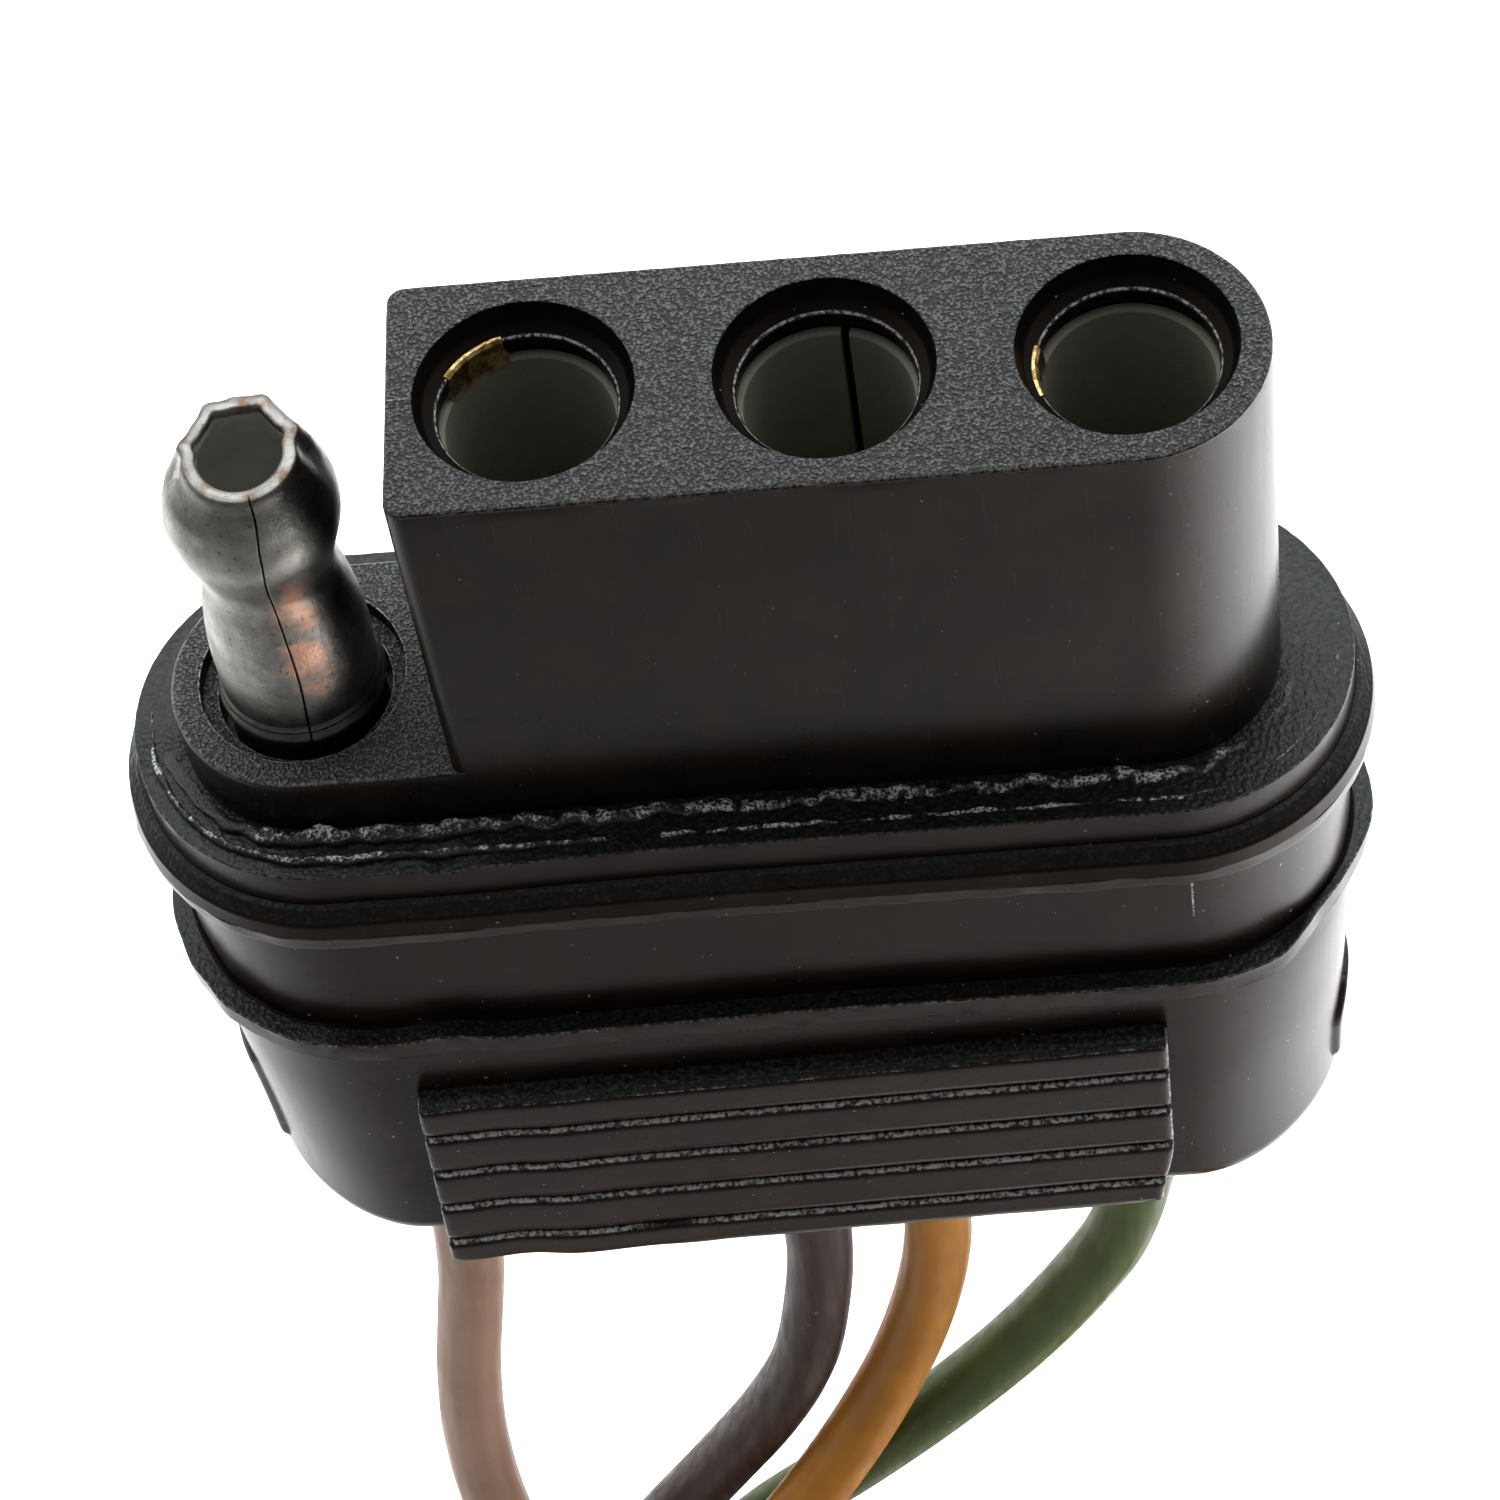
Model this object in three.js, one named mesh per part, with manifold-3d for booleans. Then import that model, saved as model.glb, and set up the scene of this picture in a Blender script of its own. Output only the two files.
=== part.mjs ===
// Four-way flat trailer wiring connector, vehicle side: one exposed bullet terminal (ground) and
// three shrouded socket contacts in a moulded insert, overmoulded with a ribbed jacket, on four
// single wires that are put away in one tied coil. Millimetres, +Z up along the terminals.
// Origin: the middle of the bracket groove between the two ribs, under the middle of the four terminals.
import * as THREE from "three";
import { mergeVertices } from "three/addons/utils/BufferGeometryUtils.js";
import Module from "manifold-3d";

const wasm = await Module();
wasm.setup();

// ---- Driving dimensions ----
const GAP = 0.3; // clearance between pieces that touch on the real connector
const PITCH = 7.9375; // 5/16 inch between terminals
const TERMINAL_X = [-1.5, -0.5, 0.5, 1.5].map((steps) => steps * PITCH);
const BULLET_X = TERMINAL_X[0];
const SOCKET_X = TERMINAL_X.slice(1);

const MATING_Z = 20.0; // mating face of the socket block
const SHELF_Z = 7.7; // shelf that the bullet stands on
const INSERT_HALF_DEPTH = 3.78;
const BLOCK_LEFT_X = -7.65; // flat end of the socket block, beside the bullet
const BLOCK_CORNER_R = 0.5;
const FLANGE_GROWTH = 0.7; // the insert's keyed foot inside the jacket
const FLANGE_TOP_Z = 1.6;
const COUNTERBORE = { r: 2.96, depth: 0.8 };
const LIP = { r: 2.4, depth: 0.5 };
const CONTACT_SEAT_DEPTH = 0.7; // each socket's cavity goes this far below its contact
const BULLET_RECESS = { r: 2.95, depth: 0.6 };
const BULLET_SEAT = { r: 2.65, bottom: 4.6 };
const EDGE = 0.12; // chamfer on the moulded edges

const JACKET_X = 0.33; // the jacket sits a little towards the sockets
const JACKET_HALF_SPAN = 11.95; // from its middle to the centre of each round end
const RING = { half: 5.48, top: 5.75 };
const UPPER_RIB = { half: 6.06, top: 4.5, bottom: 2.65 };
const GROOVE_HALF = 5.3;
const LOWER_RIB = { half: 6.02, top: -2.85, bottom: -3.75 };
const BODY = { half: 5.4, bottom: -16.2, fillet: 1.3 };
const GRIP = { half: 6.15, step: 0.28, halfWidth: 11.4, top: -6.2, ridges: [-8.0, -10.15, -12.3, -14.5] };
// Each ridge of the grip: how far its top edge, its chamfer and its lower flank stand back from GRIP.half.
const RIDGE = { brow: 0.15, chamfer: 0.25, flank: 0.08, flankUp: 0.45 };
const END_TAB = { width: 5.2, top: -9.0, bottom: -14.0, proud: 0.2 };

const CONTACT = { outerR: 2.6, innerR: 2.3, top: 18.4, bottom: 8.2, slit: 0.6, slitUp: 1.2 };
const BULLET_WALL = 0.38;
const CRIMP = { outerR: 1.8, wireInnerR: 1.45, coreInnerR: 0.9, neckR: 1.3 };
const CRIMP_Z = { shoulder: 6.8, core: -2.0, bottom: -6.3 };
const TERMINAL_BORE_R = CRIMP.outerR + GAP;

const WIRE_D = 2.3;
const CORE_D = 1.2;
const WIRE_START_Z = CRIMP_Z.core - 2 * GAP;
const CORE_TOP_Z = 4.5;
const STRIPPED = 7.0; // bare length at each far end
const TUBE = { sides: 8, steps: 34 };
const CHANNEL = { sides: 14, steps: 14, clearance: GAP + 0.05, points: 5 };

const COIL = { x: 3.4, y: -13.0, base: -82.7, innerR: 12.2, spacing: 2.5, drop: 5.8 };
const COIL_TOP_Z = COIL.base + 2 * COIL.spacing + GAP;
const COIL_OUTER_R = 24.4;
const COIL_CORNER_R = 0.9;
const LEAVE_TURNS = [2.0, 1.75]; // turns in the coil of an inner and of an outer wire
const TAIL = [13.0, 17.0]; // and the straight length of each, past the coil, before it is stripped
const TIE = { angle: -60, width: 3.0, thick: 0.55 };
const TIE_HEAD = { length: 4.2, width: 4.4, height: 1.6, inset: 3.4 };

// ---- Materials ----
const paint = (color, roughness, metalness = 0) =>
  new THREE.MeshStandardMaterial({ color, roughness, metalness });
const INSERT_PVC = paint(0x26262a, 0.55);
const JACKET_PVC = paint(0x1b1a1a, 0.42);
const TIN_PLATE = paint(0xa7a49d, 0.3, 1);
const BRASS = paint(0xb08d3e, 0.32, 1);
const COPPER = paint(0xb3673a, 0.35, 1);
const TIE_NYLON = paint(0x151515, 0.5);

// ---- Solids ----
function solid(geometry) {
  const bare = geometry.clone();
  bare.deleteAttribute("normal");
  bare.deleteAttribute("uv");
  const merged = mergeVertices(bare, 1e-4);
  return new wasm.Manifold(
    new wasm.Mesh({
      numProp: 3,
      vertProperties: new Float32Array(merged.attributes.position.array),
      triVerts: new Uint32Array(merged.index.array),
    }),
  );
}

function meshOf(name, made, material) {
  const out = made.getMesh();
  const geometry = new THREE.BufferGeometry();
  geometry.setAttribute("position", new THREE.BufferAttribute(out.vertProperties, 3));
  geometry.setIndex(new THREE.BufferAttribute(out.triVerts, 1));
  geometry.computeVertexNormals();
  const mesh = new THREE.Mesh(geometry, material);
  mesh.name = name;
  return mesh;
}

const union = (parts) => parts.reduce((whole, next) => whole.add(next));

// A solid of revolution whose two halves are pulled apart by span to each side, so that its round outline
// becomes a stadium. Profile is a list of [half depth, height] that starts and ends on the axis.
function stretched(profile, span, x = 0, sides = 48) {
  const onTheFlats = 1 / Math.cos(Math.PI / sides);
  const points = profile.map(([half, height]) => new THREE.Vector2(half * onTheFlats, height));
  const geometry = new THREE.LatheGeometry(points, sides, Math.PI / sides);
  geometry.rotateX(Math.PI / 2);
  const place = geometry.attributes.position;
  for (let k = 0; k < place.count; k++) {
    const across = place.getX(k);
    if (Math.abs(across) > 1e-4) place.setX(k, across + Math.sign(across) * span);
  }
  geometry.translate(x, 0, 0);
  return solid(geometry);
}

// An upright round bar between two heights.
function bar(x, radius, bottom, top, sides = 28) {
  const geometry = new THREE.CylinderGeometry(radius, radius, top - bottom, sides);
  geometry.rotateX(Math.PI / 2);
  geometry.translate(x, 0, (top + bottom) / 2);
  return solid(geometry);
}

// A solid of revolution about the vertical line at x: profile is a list of [radius, height].
function turned(profile, x, sides = 28) {
  const points = profile.map(([radius, height]) => new THREE.Vector2(radius, height));
  const geometry = new THREE.LatheGeometry(points, sides);
  geometry.rotateX(Math.PI / 2);
  geometry.translate(x, 0, 0);
  return solid(geometry);
}

// A tube of the given diameter along a curve.
function tube(curve, diameter, steps = TUBE.steps, sides = TUBE.sides) {
  const section = new THREE.Shape();
  for (let k = 0; k < sides; k++) {
    const angle = (2 * Math.PI * k) / sides;
    const x = (diameter / 2) * Math.cos(angle);
    const y = (diameter / 2) * Math.sin(angle);
    if (k === 0) section.moveTo(x, y);
    else section.lineTo(x, y);
  }
  section.closePath();
  return solid(new THREE.ExtrudeGeometry(section, { steps, extrudePath: curve, bevelEnabled: false }));
}

const smoothCurve = (points) =>
  new THREE.CatmullRomCurve3(points.map((p) => new THREE.Vector3(...p)), false, "centripetal");

// ---- Wire routes ----
// Each wire's stretch from its crimp to the bundle, in its own list. In the bundle, outer says whether it
// lies on the coil's outer or inner side, and layer whether it lies in the upper or the lower layer.
const WIRES = [
  {
    name: "white",
    color: 0xe9e4dc,
    terminal: 0,
    outer: 1,
    layer: 1,
    route: [
      [-11.91, 0, -6.4],
      [-11.8, 0, -10.0],
      [-11.65, 0, -13.4],
      [-11.62, 0, -16.2],
      [-11.66, 0, -20.0],
      [-11.85, 0, -24.0],
      [-12.2, 0, -28.0],
      [-12.75, 0, -31.6],
      [-13.3, -0.1, -35.2],
      [-13.75, -0.3, -40.0],
      [-13.7, -0.7, -45.0],
      [-13.0, -1.3, -50.0],
      [-12.0, -2.15, -54.5],
    ],
  },
  {
    name: "brown",
    color: 0x4c3a35,
    terminal: 1,
    outer: 1,
    layer: 0,
    route: [
      [-3.95, 0, -6.4],
      [-3.1, 0, -9.2],
      [-1.9, 0, -12.6],
      [-1.3, 0, -16.2],
      [-0.75, 0, -20.0],
      [-0.4, 0, -24.0],
      [-0.35, 0, -28.0],
      [-0.8, 0, -32.2],
      [-1.6, 0, -36.4],
      [-3.2, 0.3, -41.0],
      [-5.6, 0.6, -46.0],
      [-8.5, 0.5, -51.0],
      [-10.6, 0.25, -55.0],
    ],
  },
  {
    name: "yellow",
    color: 0xc98a3c,
    terminal: 2,
    outer: 0,
    layer: 1,
    route: [
      [3.97, 0, -6.4],
      [3.97, 0, -9.6],
      [3.95, 0, -13.0],
      [3.93, 0, -16.2],
      [3.9, 0, -20.0],
      [3.82, 0, -24.0],
      [3.66, 0, -28.0],
      [3.05, 0, -32.0],
      [1.85, -0.3, -36.2],
      [-0.2, -0.9, -41.0],
      [-3.0, -1.7, -46.0],
      [-6.1, -2.1, -51.0],
      [-8.2, -2.3, -55.0],
    ],
  },
  {
    name: "green",
    color: 0x5d6b45,
    terminal: 3,
    outer: 0,
    layer: 0,
    route: [
      [11.91, 0, -6.4],
      [11.85, 0, -9.6],
      [11.7, 0, -13.0],
      [11.5, 0, -16.2],
      [11.2, 0, -20.0],
      [10.65, 0, -24.2],
      [9.75, 0, -28.6],
      [8.3, 0, -32.0],
      [6.0, 0, -36.2],
      [3.0, 0, -40.6],
      [-0.3, 0.3, -45.4],
      [-4.3, 0.5, -50.4],
      [-7.6, 0.2, -55.2],
    ],
  },
];
// The bundle's own middle line, from where the wires come together to where they reach the coil.
const BUNDLE = [
  [-10.0, -1.2, -59.0],
  [-10.0, -2.6, -64.6],
  [-10.0, -5.2, -69.3],
  [-10.0, -9.0, -72.7],
  [COIL.x - COIL.innerR - COIL.spacing / 2, COIL.y, COIL.base + WIRE_D / 2 + COIL.spacing / 2 + COIL.drop],
];

// The bundle's cross-section turns with it: outer wires lie on -X, upper wires end on top.
function bundlePoint(index, wire) {
  const [x, y, z] = BUNDLE[index];
  const before = BUNDLE[Math.max(index - 1, 0)];
  const after = BUNDLE[Math.min(index + 1, BUNDLE.length - 1)];
  const [dy, dz] = [after[1] - before[1], after[2] - before[2]];
  const length = Math.hypot(dy, dz);
  const across = COIL.spacing * (0.5 - wire.outer);
  const up = COIL.spacing * (wire.layer - 0.5);
  return [x + across, y + (up * dz) / length, z - (up * dy) / length];
}

// A point of a wire in the flat coil, for an angle counted from where it meets the first turn.
function coilPoint(angle, wire) {
  const radius = COIL.innerR + wire.outer * COIL.spacing + (2 * COIL.spacing * angle) / (2 * Math.PI);
  const z = COIL.base + WIRE_D / 2 + wire.layer * COIL.spacing;
  return [COIL.x + radius * Math.cos(Math.PI + angle), COIL.y + radius * Math.sin(Math.PI + angle), z];
}

function wireCurve(wire) {
  return smoothCurve([
    [TERMINAL_X[wire.terminal], 0, WIRE_START_Z],
    ...wire.route,
    ...BUNDLE.map((_, index) => bundlePoint(index, wire)),
  ]);
}

// ---- Pieces ----
function insertBlock() {
  const [half, foot] = [INSERT_HALF_DEPTH, INSERT_HALF_DEPTH + FLANGE_GROWTH];
  const outside = stretched(
    [
      [0, 0],
      [foot - EDGE, 0],
      [foot, EDGE],
      [foot, FLANGE_TOP_Z - EDGE],
      [foot - EDGE, FLANGE_TOP_Z],
      [half, FLANGE_TOP_Z],
      [half, MATING_Z - EDGE],
      [half - EDGE, MATING_Z],
      [0, MATING_Z],
    ],
    TERMINAL_X[3],
  );
  // What is cut away over the shelf leaves the block's flat end with two rounded corners.
  const [left, corner, clear] = [BLOCK_LEFT_X, BLOCK_CORNER_R, half + 2];
  const past = 2 * BULLET_X;
  const away = new THREE.Shape();
  away.moveTo(past, -clear);
  away.lineTo(left + corner, -clear);
  away.lineTo(left + corner, -half - 0.01);
  away.absarc(left + corner, corner - half, corner, -Math.PI / 2, -Math.PI, true);
  away.absarc(left + corner, half - corner, corner, Math.PI, Math.PI / 2, true);
  away.lineTo(left + corner, half + 0.01);
  away.lineTo(left + corner, clear);
  away.lineTo(past, clear);
  away.closePath();
  const over = new THREE.ExtrudeGeometry(away, {
    depth: MATING_Z,
    curveSegments: 5,
    bevelEnabled: false,
  });
  over.translate(0, 0, SHELF_Z);
  let body = outside.subtract(solid(over));
  for (const x of SOCKET_X) {
    const counterboreFloor = MATING_Z - COUNTERBORE.depth;
    const lipFloor = counterboreFloor - LIP.depth;
    const cavityFloor = CONTACT.bottom - CONTACT_SEAT_DEPTH;
    body = body
      .subtract(bar(x, COUNTERBORE.r, counterboreFloor, MATING_Z + 1))
      .subtract(bar(x, LIP.r, lipFloor - 0.2, counterboreFloor + 0.2))
      .subtract(bar(x, CONTACT.outerR + GAP, cavityFloor, lipFloor))
      .subtract(bar(x, TERMINAL_BORE_R, -1, cavityFloor + 0.2));
  }
  return body
    .subtract(bar(BULLET_X, BULLET_RECESS.r, SHELF_Z - BULLET_RECESS.depth, SHELF_Z + 1))
    .subtract(bar(BULLET_X, BULLET_SEAT.r, BULLET_SEAT.bottom, SHELF_Z))
    .subtract(bar(BULLET_X, TERMINAL_BORE_R, -1, BULLET_SEAT.bottom + 0.2));
}

// One ridged grip pad: five shingled ridges, each with a ledge on top and leaning in to its foot.
function gripPad(side) {
  const root = GROOVE_HALF - 1;
  const heights = [GRIP.top, ...GRIP.ridges, BODY.bottom + 0.1];
  const profile = new THREE.Shape();
  profile.moveTo(root, heights[0]);
  for (let k = 0; k + 1 < heights.length; k++) {
    const [top, foot] = [heights[k], heights[k + 1]];
    profile.lineTo(GRIP.half - RIDGE.brow, top);
    profile.lineTo(GRIP.half, top - RIDGE.chamfer);
    profile.lineTo(GRIP.half - RIDGE.flank, foot + RIDGE.flankUp);
    profile.lineTo(GRIP.half - GRIP.step, foot);
  }
  profile.lineTo(root, BODY.bottom + 0.1);
  profile.closePath();
  const geometry = new THREE.ExtrudeGeometry(profile, {
    depth: 2 * GRIP.halfWidth,
    bevelEnabled: false,
  });
  const turn = new THREE.Matrix4().makeBasis(
    new THREE.Vector3(0, 1, 0),
    new THREE.Vector3(0, 0, 1),
    new THREE.Vector3(1, 0, 0),
  );
  geometry.applyMatrix4(turn);
  geometry.translate(-GRIP.halfWidth, 0, 0);
  if (side < 0) geometry.rotateZ(Math.PI);
  geometry.translate(JACKET_X, 0, 0);
  return solid(geometry);
}

// A thin raised pad that follows the curve of a round end.
function endTab(side) {
  const { width, top, bottom, proud } = END_TAB;
  const half = BODY.half + proud;
  const layer = stretched(
    [
      [0, bottom],
      [half - EDGE, bottom],
      [half, bottom + EDGE],
      [half, top - EDGE],
      [half - EDGE, top],
      [0, top],
    ],
    JACKET_HALF_SPAN,
    JACKET_X,
  );
  const end = new THREE.BoxGeometry(6, width, 2 * (top - bottom));
  end.translate(JACKET_X + side * (JACKET_HALF_SPAN + 6), 0, (top + bottom) / 2);
  return layer.intersect(solid(end));
}

function jacket() {
  const fillet = [1, 2, 3].map((k) => {
    const turn = (k * Math.PI) / 8;
    return [
      BODY.half - BODY.fillet * (1 - Math.sin(turn)),
      BODY.bottom + BODY.fillet * (1 - Math.cos(turn)),
    ];
  });
  const outside = union([
    stretched(
      [
        [0, BODY.bottom],
        [BODY.half - BODY.fillet, BODY.bottom],
        ...fillet,
        [BODY.half, BODY.bottom + BODY.fillet],
        [BODY.half, LOWER_RIB.bottom],
        [LOWER_RIB.half - EDGE, LOWER_RIB.bottom],
        [LOWER_RIB.half, LOWER_RIB.bottom + EDGE],
        [LOWER_RIB.half, LOWER_RIB.top - EDGE],
        [LOWER_RIB.half - EDGE, LOWER_RIB.top],
        [GROOVE_HALF, LOWER_RIB.top],
        [GROOVE_HALF, UPPER_RIB.bottom],
        [UPPER_RIB.half - 0.35, UPPER_RIB.bottom],
        [UPPER_RIB.half, UPPER_RIB.bottom + 0.4],
        [UPPER_RIB.half, UPPER_RIB.top - 0.75],
        [UPPER_RIB.half - 0.2, UPPER_RIB.top - 0.25],
        [RING.half, UPPER_RIB.top],
        [RING.half, RING.top - EDGE],
        [RING.half - EDGE, RING.top],
        [0, RING.top],
      ],
      JACKET_HALF_SPAN,
      JACKET_X,
    ),
    gripPad(1),
    gripPad(-1),
    endTab(1),
    endTab(-1),
  ]);
  const [pocket, keyed] = [INSERT_HALF_DEPTH + GAP, INSERT_HALF_DEPTH + FLANGE_GROWTH + GAP];
  let shell = outside.subtract(
    stretched(
      [
        [0, -GAP],
        [keyed, -GAP],
        [keyed, FLANGE_TOP_Z + GAP],
        [pocket, FLANGE_TOP_Z + GAP],
        [pocket, RING.top + 1],
        [0, RING.top + 1],
      ],
      TERMINAL_X[3],
    ),
  );
  for (const x of TERMINAL_X) shell = shell.subtract(bar(x, TERMINAL_BORE_R, CRIMP_Z.bottom - GAP, 0));
  for (const wire of WIRES) {
    const channel = smoothCurve([
      [TERMINAL_X[wire.terminal], 0, CRIMP_Z.core],
      ...wire.route.slice(0, CHANNEL.points),
    ]);
    const bore = WIRE_D + 2 * CHANNEL.clearance;
    shell = shell.subtract(tube(channel, bore, CHANNEL.steps, CHANNEL.sides));
  }
  return shell;
}

// The crimped tail that every terminal has: a neck, a barrel on the strands and one on the insulation.
const crimpOuter = [
  [CRIMP.outerR, CRIMP_Z.shoulder - 1],
  [CRIMP.neckR, CRIMP_Z.shoulder - 1.6],
  [CRIMP.neckR, CRIMP_Z.core + 1],
  [CRIMP.outerR, CRIMP_Z.core],
  [CRIMP.outerR, CRIMP_Z.bottom],
];
const crimpInner = [
  [CRIMP.wireInnerR, CRIMP_Z.bottom],
  [CRIMP.wireInnerR, CRIMP_Z.core - 0.3],
  [CRIMP.coreInnerR, CRIMP_Z.core],
];

function socketContact() {
  const { outerR, innerR, top, bottom, slit, slitUp } = CONTACT;
  const profile = [
    [innerR, bottom + 0.6],
    [innerR, top - 0.3],
    [innerR + 0.15, top],
    [outerR, top],
    [outerR, bottom],
    [CRIMP.outerR, CRIMP_Z.shoulder + 0.4],
    ...crimpOuter,
    ...crimpInner,
    [CRIMP.coreInnerR, bottom - 0.2],
    [innerR, bottom + 0.6],
  ];
  const cut = new THREE.BoxGeometry(slit, 4, top - bottom);
  cut.translate(0, 3, (top + bottom) / 2 + slitUp);
  return turned(profile.reverse(), 0).subtract(solid(cut));
}

// The bullet is rolled from strip: a necked head with an open tip, on a bellied barrel.
function bulletTerminal() {
  const outer = [
    [1.62, 18.2],
    [1.8, 17.7],
    [2.16, 17.0],
    [2.36, 16.2],
    [2.33, 15.5],
    [2.12, 14.7],
    [1.88, 13.9],
    [1.84, 13.3],
    [1.98, 12.6],
    [2.22, 11.6],
    [2.35, 10.5],
    [2.37, 9.3],
    [2.35, 8.3],
    [2.35, 5.1],
  ];
  const tip = [outer[0][0] - BULLET_WALL + 0.1, outer[0][1]];
  const profile = [
    tip,
    ...outer,
    ...crimpOuter,
    ...crimpInner,
    [CRIMP.coreInnerR, 6.4],
    [2.0, 7.6],
    [2.1, 10.4],
    [1.46, 13.1],
    [1.9, 15.6],
    tip,
  ];
  return turned(profile.reverse(), 0);
}

// The far end of a wire leaves the coil on a tangent, and its last stretch is stripped.
function strippedEnd(wire) {
  const angle = LEAVE_TURNS[wire.outer] * 2 * Math.PI;
  const start = new THREE.Vector3(...coilPoint(angle, wire));
  const heading = new THREE.Vector3(-Math.sin(Math.PI + angle), Math.cos(Math.PI + angle), 0);
  const from = start.clone().addScaledVector(heading, TAIL[wire.outer]);
  const to = from.clone().addScaledVector(heading, STRIPPED);
  return tube(new THREE.LineCurve3(from, to), CORE_D, 1);
}

function coilRing() {
  const [inner, outer] = [COIL.innerR - WIRE_D / 2, COIL_OUTER_R];
  const [bottom, top, corner] = [COIL.base, COIL_TOP_Z, COIL_CORNER_R];
  const profile = [
    [inner + corner, bottom],
    [outer - corner, bottom],
    [outer, bottom + corner],
    [outer, top - corner],
    [outer - corner, top],
    [inner + corner, top],
    [inner, top - corner],
    [inner, bottom + corner],
    [inner + corner, bottom],
  ];
  return turned(profile, 0, 48);
}

// A strap round the coil's section.
function coilTie() {
  const { width, thick } = TIE;
  const [inner, outer] = [COIL.innerR - WIRE_D / 2 - GAP, COIL_OUTER_R + GAP];
  const [bottom, top] = [COIL.base - GAP, COIL_TOP_Z + GAP];
  const box = (grow, length) => {
    const geometry = new THREE.BoxGeometry(outer - inner + 2 * grow, length, top - bottom + 2 * grow);
    geometry.translate((inner + outer) / 2, 0, (top + bottom) / 2);
    return solid(geometry);
  };
  const head = new THREE.BoxGeometry(TIE_HEAD.length, TIE_HEAD.width, TIE_HEAD.height);
  head.translate(outer - TIE_HEAD.inset, 0, top + thick + TIE_HEAD.height / 2 - 0.1);
  return box(thick, width)
    .subtract(box(0, width + 2))
    .add(solid(head));
}

// ---- Assembly ----
const placed = (mesh, x, y = 0) => {
  mesh.position.set(x, y, 0);
  return mesh;
};
const moulding = new THREE.Group();
moulding.add(meshOf("socket_insert", insertBlock(), INSERT_PVC));
moulding.add(meshOf("overmould_jacket", jacket(), JACKET_PVC));

const terminals = new THREE.Group();
const wiring = new THREE.Group();
terminals.add(placed(meshOf("bullet_terminal", bulletTerminal(), TIN_PLATE), BULLET_X));
for (const wire of WIRES) {
  const x = TERMINAL_X[wire.terminal];
  if (x !== BULLET_X) {
    terminals.add(placed(meshOf("socket_contact_" + wire.name, socketContact(), BRASS), x));
  }
  const core = bar(0, CORE_D / 2, WIRE_START_Z + GAP, CORE_TOP_Z, 12);
  terminals.add(placed(meshOf("crimped_strands_" + wire.name, core, COPPER), x));
  wiring.add(meshOf("wire_" + wire.name, tube(wireCurve(wire), WIRE_D), paint(wire.color, 0.45)));
  wiring.add(meshOf("stripped_end_" + wire.name, strippedEnd(wire), COPPER));
}
wiring.add(placed(meshOf("wire_coil", coilRing(), paint(0x6b6259, 0.5)), COIL.x, COIL.y));
const tie = placed(meshOf("coil_tie", coilTie(), TIE_NYLON), COIL.x, COIL.y);
tie.rotation.z = THREE.MathUtils.degToRad(TIE.angle);
wiring.add(tie);

const group = new THREE.Group();
group.name = "trailer_connector";
group.add(moulding, terminals, wiring);

export default group;
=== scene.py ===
"""Looks of a four-way flat trailer wiring connector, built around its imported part.

Shapes are worked out in millimetres in the part's own frame (+X along the terminals, +Z towards the
mating face) and turned into metres when they become meshes.
"""
import math

import bmesh
import bpy
import numpy as np
from mathutils import Matrix, Vector, noise
from mathutils.geometry import delaunay_2d_cdt


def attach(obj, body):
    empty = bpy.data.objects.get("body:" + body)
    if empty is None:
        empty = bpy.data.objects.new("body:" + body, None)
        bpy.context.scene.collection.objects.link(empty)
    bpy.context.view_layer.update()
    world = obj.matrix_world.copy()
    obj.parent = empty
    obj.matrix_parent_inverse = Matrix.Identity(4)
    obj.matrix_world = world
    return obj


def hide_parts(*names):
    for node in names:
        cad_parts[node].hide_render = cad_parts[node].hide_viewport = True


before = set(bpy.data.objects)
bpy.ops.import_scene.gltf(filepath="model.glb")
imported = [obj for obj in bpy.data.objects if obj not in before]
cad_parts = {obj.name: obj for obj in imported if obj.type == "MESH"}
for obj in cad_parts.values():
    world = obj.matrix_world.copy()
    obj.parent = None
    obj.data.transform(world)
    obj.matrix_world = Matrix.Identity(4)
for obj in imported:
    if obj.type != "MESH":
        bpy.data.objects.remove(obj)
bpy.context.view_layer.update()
MM = 0.001

# ---- Dimensions, the same as the part's own ----
PITCH = 7.9375
TERMINAL_X = [-1.5 * PITCH, -0.5 * PITCH, 0.5 * PITCH, 1.5 * PITCH]
BULLET_X = TERMINAL_X[0]
MATING_Z, SHELF_Z = 20.0, 7.7
BLOCK_HALF = 3.78
BLOCK_LEFT_X = -7.65
BLOCK_CORNER_R = 0.5
COUNTERBORE_R, COUNTERBORE_Z = 2.96, 19.2
LIP_R, LIP_Z = 2.4, 18.7
CAVITY_R, CAVITY_Z = 2.9, 7.6
RECESS_R, RECESS_Z = 2.95, 7.1
WELL_R, WELL_Z = 2.5, 5.2
FOOT_Z = 5.0
JACKET_X, JACKET_SPAN = 0.33, 11.95
RING_HALF, RING_Z = 5.48, 5.75
GROOVE_HALF = 5.3
BODY_HALF, BODY_Z, BODY_FILLET = 5.4, -16.2, 1.3
GRIP_HALF, GRIP_WIDTH = 6.15, 11.4
GRIP_Z = [-6.2, -8.0, -10.15, -12.3, -14.5, -16.1]
WIRE_D, STRIPPED = 2.3, 7.0
WIRE_START_Z = -2.6
COIL_X, COIL_Y, COIL_BASE, COIL_R, SPACING = 3.4, -13.0, -82.7, 12.2, 2.5
DROP, DROP_ANGLE = 5.8, 2.0
LEAVE_TURNS, TAIL = (2.0, 1.75), (13.0, 17.0)
TIE_ANGLE, TIE_WIDTH, TIE_THICK = -60.0, 3.0, 0.55
TIE_ANGLE_TURNS = (TIE_ANGLE + 180.0) / 360.0
FLOOR_Z = -83.56

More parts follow.
